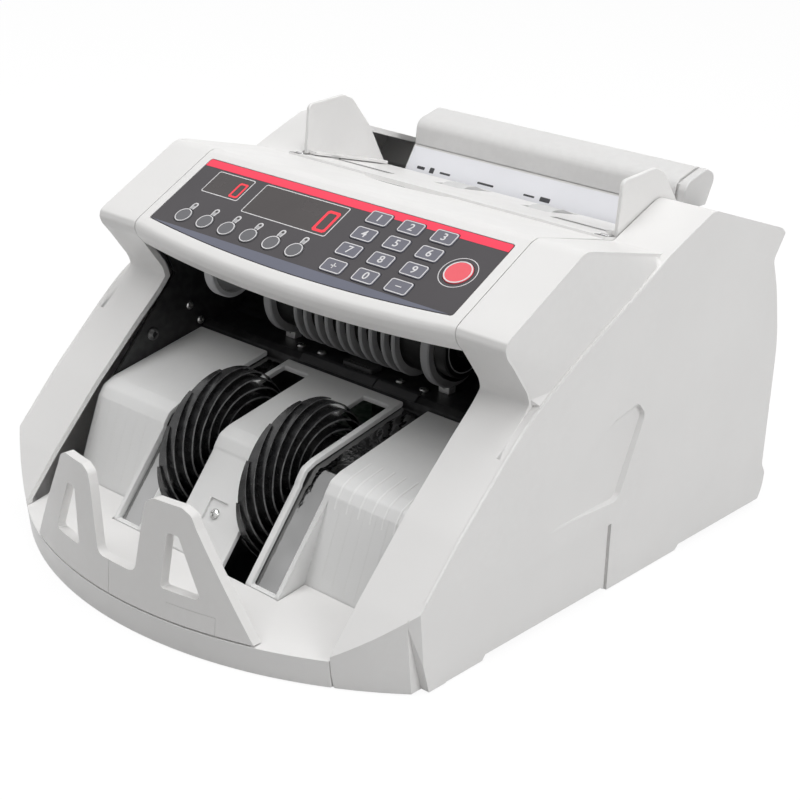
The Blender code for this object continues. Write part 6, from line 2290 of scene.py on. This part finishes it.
@dataclass
class Hopper:
    """The hopper plate, the sliding note guides, the note rest and its label."""

    nodes: Nodes
    plate: Shares = ((0.607, 0.936), (0.834, 0.838))
    wing: Shares = ((0.639, 0.932), (0.642, 1.072), (0.721, 1.085), (0.744, 1.067), (0.789, 0.972), (0.832, 0.850))
    wing_thickness: float = 0.002
    wing_corners: Point = (0.0070, 0.0032)
    wing_ease: float = 0.0006
    foot_width: float = 0.007
    foot_thickness: float = 0.0016
    foot: Point = (0.645, 0.820)
    tab_share: float = 0.690
    tab_length: float = 0.006
    tab_drop: float = 0.006
    lift: float = 0.0003
    rest: Shares = ((0.869, 0.901), (0.871, 0.982), (0.927, 1.011), (0.956, 0.986), (0.935, 0.901))
    back: Shares = ((0.846, 0.826), (0.869, 0.901))
    rest_wall: float = 0.0022
    rest_half: float = 0.0837
    rest_corners: Point = (0.0062, 0.004)
    rest_ease: float = 0.0008
    groove_place: Point = (0.0001, 0.0009)
    groove_size: Point = (0.0014, 0.0006)
    slit: float = 0.0790
    slit_width: float = 0.0017
    slit_depth: float = 0.0014
    rail_x: Point = (0.0897, 0.0954)
    rail_y: Point = (0.0345, 0.0430)
    rail_film: float = 0.00012
    rail_radius: float = 0.0011
    rail_sunk: float = 0.0004
    label_size: Point = (0.1662, 0.0138)
    label_corner: float = 0.0012
    label_heights: Triple = (0.00002, 0.00016, 0.0002)
    mark_row: float = -0.0040
    marks: tuple[Triple, ...] = (
        (-0.0735, 0.0052, 0.0016), (-0.0660, 0.0030, 0.0030), (-0.0570, 0.0070, 0.0011), (-0.0300, 0.0105, 0.0011),
        (-0.0020, 0.0068, 0.0010), (0.0080, 0.0062, 0.0024),
    )

    def build(self) -> None:
        """Builds the hopper's visible parts."""
        keep(self.nodes["hopper_plate"], SHELL_WHITE, 0.0004)
        for side in Side:
            self._guide(side)
            self._rail(side)
        self._rest()
        self._label()

    def _guide(self, side: Side) -> None:
        """One note guide: its wing, the foot on the plate and the catch below.

        Args:
            side: Which side.
        """
        line = PLAN.outline(self.plate)
        points = PLAN.outline(self.wing)
        for index in (0, -1):
            points[index] = (points[index][0], on_line(line, points[index][0]) + self.lift)
        outer = PLAN.inner_half - self.lift
        wing = fillet(fillet(points, self.wing_corners[0], (2, 3, 4), 6), self.wing_corners[1], (1,), 5)
        inner_face = outer - self.wing_thickness
        guide = Piece(f"{side.word}_guide_wing", side.prism(wing, inner_face, outer, self.wing_ease))
        low = [(PLAN.y_of(share), on_line(line, PLAN.y_of(share)) + 1.7 * self.lift) for share in self.foot]
        high = [(y, z + self.foot_thickness) for y, z in low]
        near, far = outer - self.foot_width, outer - self.wing_thickness / 2
        guide.join(side.prism(low + high[::-1], near, far, 0.0003))
        y = spread(PLAN.y_of(self.tab_share), self.tab_length)
        top = [on_line(line, along) + self.foot_thickness / 2 for along in y]
        low_z = on_line(line, y[1]) - self.tab_drop
        tab = [(y[0], top[0]), (y[1], top[1]), (y[1], low_z), (y[0], low_z)]
        guide.join(side.prism(tab, near + 0.0005, inner_face - 0.001))
        guide.finish(SHELL_WHITE, f"{side.word}_guide", (f"{side.word}_note_guide",))

    def _rail(self, side: Side) -> None:
        """A thin black sheet on the plate that paints the shade in the slot ahead of a guide, with the end of its steel
        rail.

        Args:
            side: Which side.
        """
        line = PLAN.outline(self.plate)
        low = [(y, on_line(line, y)) for y in self.rail_y]
        slot = low + [(y, z + self.rail_film) for y, z in low[::-1]]
        # The black sheet stands for the slot's opening: painted shade.
        Piece(f"{side.word}_rail_slot", side.prism(slot, *self.rail_x)).finish(INNER_BLACK)
        middle = sum(self.rail_y) / 2
        rail = circle(self.rail_radius, 16, (middle, on_line(line, middle) - self.rail_sunk))
        reach = self.rail_x[0] + 0.0006, self.rail_x[1] - 0.0004
        Piece(f"{side.word}_rail_end", side.prism(rail, *reach, 0.0002)).finish(BRIGHT_STEEL)

    def _rest(self) -> None:
        """The bent plate at the back, hollow behind, with its sloping foot."""
        line = PLAN.outline(self.rest)
        outer = fillet(line, self.rest_corners[0], (1, 2, 3), 6)
        half = self.rest_half
        rest = Piece("rest", prism(Axis.X, outer, -half, half, self.rest_ease))
        inner = fillet(offset_line(line, self.rest_wall), self.rest_corners[1], (1, 2, 3), 5, closed=False)
        drop = line[0][1] - 2 * self.rest_wall
        hollow = [(inner[0][0], drop), *inner, (inner[-1][0], drop)]
        rest.cut(prism(Axis.X, hollow, -half + self.rest_wall, half - self.rest_wall))
        slope = PLAN.outline(self.back)
        behind = offset_line(slope, self.rest_wall)
        top = (line[0][0] + self.rest_wall, line[0][1] + self.rest_wall)
        rest.join(prism(Axis.X, [*slope, top, *behind[::-1]], -half, half))
        groove = (
            spread(corner + shift, size) for corner, shift, size in zip(slope[1], self.groove_place, self.groove_size)
        )
        rest.cut(prism(Axis.X, rectangle(*groove), -half, half))
        slit = Piece("slit", prism(Axis.X, inset(line, -0.01), *spread(self.slit, self.slit_width)))
        slit.cut(prism(Axis.X, inset(line, self.slit_depth), -half, half))
        rest.cut(taken(slit))
        # The rest's white is darker than the shell's: painted shade.
        rest.finish(REST_SHADED_WHITE, replaced=("note_rest",))

    def _slope_frame(self) -> Matrix:
        """The label's own plane: X across, Y up the slope, Z out of it.

        Returns:
            The frame.
        """
        low, high = (Vector((0.0, *point)) for point in PLAN.outline(self.back))
        along = (high - low).normalized()
        across = Vector((1.0, 0.0, 0.0))
        axes = Matrix((across, along, across.cross(along))).transposed()
        return Matrix.Translation((low + high) / 2) @ axes.to_4x4()

    def _label(self) -> None:
        """The pale label on the slope, with a few plain marks."""
        frame = self._slope_frame()
        low, top, inked = self.label_heights
        outline = rounded_rectangle((0.0, 0.0), self.label_size, self.label_corner)
        Piece("label", prism(Axis.Z, outline, low, top)).move(frame).finish(LABEL_PALE)
        shapes = []
        for x, wide, tall in self.marks:
            points = rounded_rectangle((x, self.mark_row), (wide, tall), 0.0004, 3)
            shapes.append(prism(Axis.Z, points, top, inked))
        Piece("label_marks", gathered(shapes)).move(frame).finish(LABEL_MARK)


@dataclass
class RearEnd:
    """The rear wall with its air slots, the mains inlet and the rocker switch."""

    nodes: Nodes
    face: float = 0.1570
    inlet: Point = (0.0331, 0.040)
    socket_x: float = 0.0407
    switch_x: float = 0.0207
    pins: tuple[Point, ...] = ((-0.007, -0.0025), (0.0, 0.0025), (0.007, -0.0025))
    pin_size: Point = (0.0020, 0.0040)
    pin_ease: float = 0.0005
    pin_depths: Point = (0.0163, 0.002)
    screw_aside: float = 0.0285
    screw_sunk: float = 0.0031
    screw_radius: float = 0.0026
    plate_z: float = 0.0745
    plate_size: Point = (0.042, 0.018)
    plate_share: float = 0.9795
    lines: tuple[float, ...] = (0.030, 0.034, 0.022, 0.034)
    line_height: float = 0.0008
    line_first: float = 0.0052
    line_pitch: float = 0.0034

    def build(self) -> None:
        """Dresses the rear parts and adds the small ones."""
        keep(self.nodes["rear_cover"], SHELL_WHITE, 0.0006)
        keep(self.nodes["power_inlet"], SOCKET_BLACK, 0.0003)
        keep(self.nodes["power_switch"], SWITCH_BLACK, 0.0005)
        deep, near = (self.face - depth for depth in self.pin_depths)
        for number, (x, z) in enumerate(self.pins):
            middle = (self.socket_x + x, self.inlet[1] + z)
            shape = prism(Axis.Y, rounded_rectangle(middle, self.pin_size, self.pin_ease, 3), deep, near, self.pin_ease)
            Piece(f"inlet_pin_{number + 1}", shape).finish(ZINC)
        for side in Side:
            place = (self.inlet[0] + side.value * self.screw_aside, self.face - self.screw_sunk, self.inlet[1])
            screw(f"{side.word}_rear_screw", place, (0.0, 1.0, 0.0), self.screw_radius, ZINC)
        self._plate()

    def _plate(self) -> None:
        """The rating plate, bare but for a few plain lines."""
        outline = rounded_rectangle((self.inlet[0], self.plate_z), self.plate_size, 0.0012)
        frame = Matrix.Translation((0.0, PLAN.y_of(self.plate_share) + 0.0006, 0.0))
        paper = Piece("rating_plate", prism(Axis.Y, outline, -0.0008, 0.0002))
        paper.move(frame).finish(LABEL_PALE)
        shapes = []
        for row, wide in enumerate(self.lines):
            aside = (max(self.lines) - wide) / 2
            middle = (self.inlet[0] - aside, self.plate_z + self.line_first - self.line_pitch * row)
            line = rounded_rectangle(middle, (wide, self.line_height), 0.0003, 2)
            shapes.append(prism(Axis.Y, line, 0.0001, 0.00028))
        Piece("rating_lines", gathered(shapes)).move(frame).finish(LABEL_MARK)


@dataclass
class Underside:
    """The base pan, its feet and its screws."""

    nodes: Nodes
    pan_low: float = 0.0026
    screw_radius: float = 0.0028
    screws: tuple[Point, ...] = ((-0.060, -0.070), (0.060, -0.070), (-0.060, 0.060), (0.060, 0.060))

    def build(self) -> None:
        """Dresses the pan and the feet and adds the screws."""
        keep(self.nodes["base_pan"], SATIN_BLACK, 0.0003)
        for end in ("front", "rear"):
            for side in Side:
                keep(self.nodes[f"{end}_{side.word}_foot"], FOOT_RUBBER, 0.0004)
        for number, (x, y) in enumerate(self.screws):
            screw(f"pan_screw_{number + 1}", (x, y, self.pan_low), (0.0, 0.0, -1.0), self.screw_radius, ZINC)


@dataclass
class InnerWorks:
    """Shafts, belts, motor and boards inside the housing."""

    nodes: Nodes
    kept: tuple[tuple[Finish, float, tuple[str, ...]], ...] = (
        (BRIGHT_STEEL, 0.0002, ("stacker_shaft", "counting_shaft", "pull_shaft", "feed_shaft", "motor_pulley")),
        (TYRE_PALE, 0.0003, ("feed_roller",)),
        (ZINC, 0.0006, ("main_motor",)),
        (CHIP_BLACK, 0.0004, ("transformer",)),
        (BELT_RUBBER, 0.0002, ("drive_belt", "stacker_belt")),
        (BOARD_GREEN, 0.0002, ("control_board", "display_board")),
    )

    def build(self) -> None:
        """Dresses the inner parts, which keep their shapes."""
        for coat, ease, names in self.kept:
            for name in names:
                keep(self.nodes[name], coat, ease)


def main() -> None:
    """Builds the machine round its frame, piece by piece."""
    nodes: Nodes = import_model()["nodes"]
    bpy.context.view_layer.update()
    shells = [SideShell(side) for side in Side]
    front = [FrontTray(), NoteStop(), ConsoleCover(), KeyPanel()]
    throat = [StackerDeck(), StackerWheels(), Rollers(), Throat(nodes)]
    rest = [Hopper(nodes), RearEnd(nodes), Underside(nodes), InnerWorks(nodes)]
    for part in [Studio(), *shells, *front, *throat, *rest]:
        part.build()


if __name__ == "__main__":
    logging.basicConfig(level=logging.INFO, format="%(message)s")
    main()
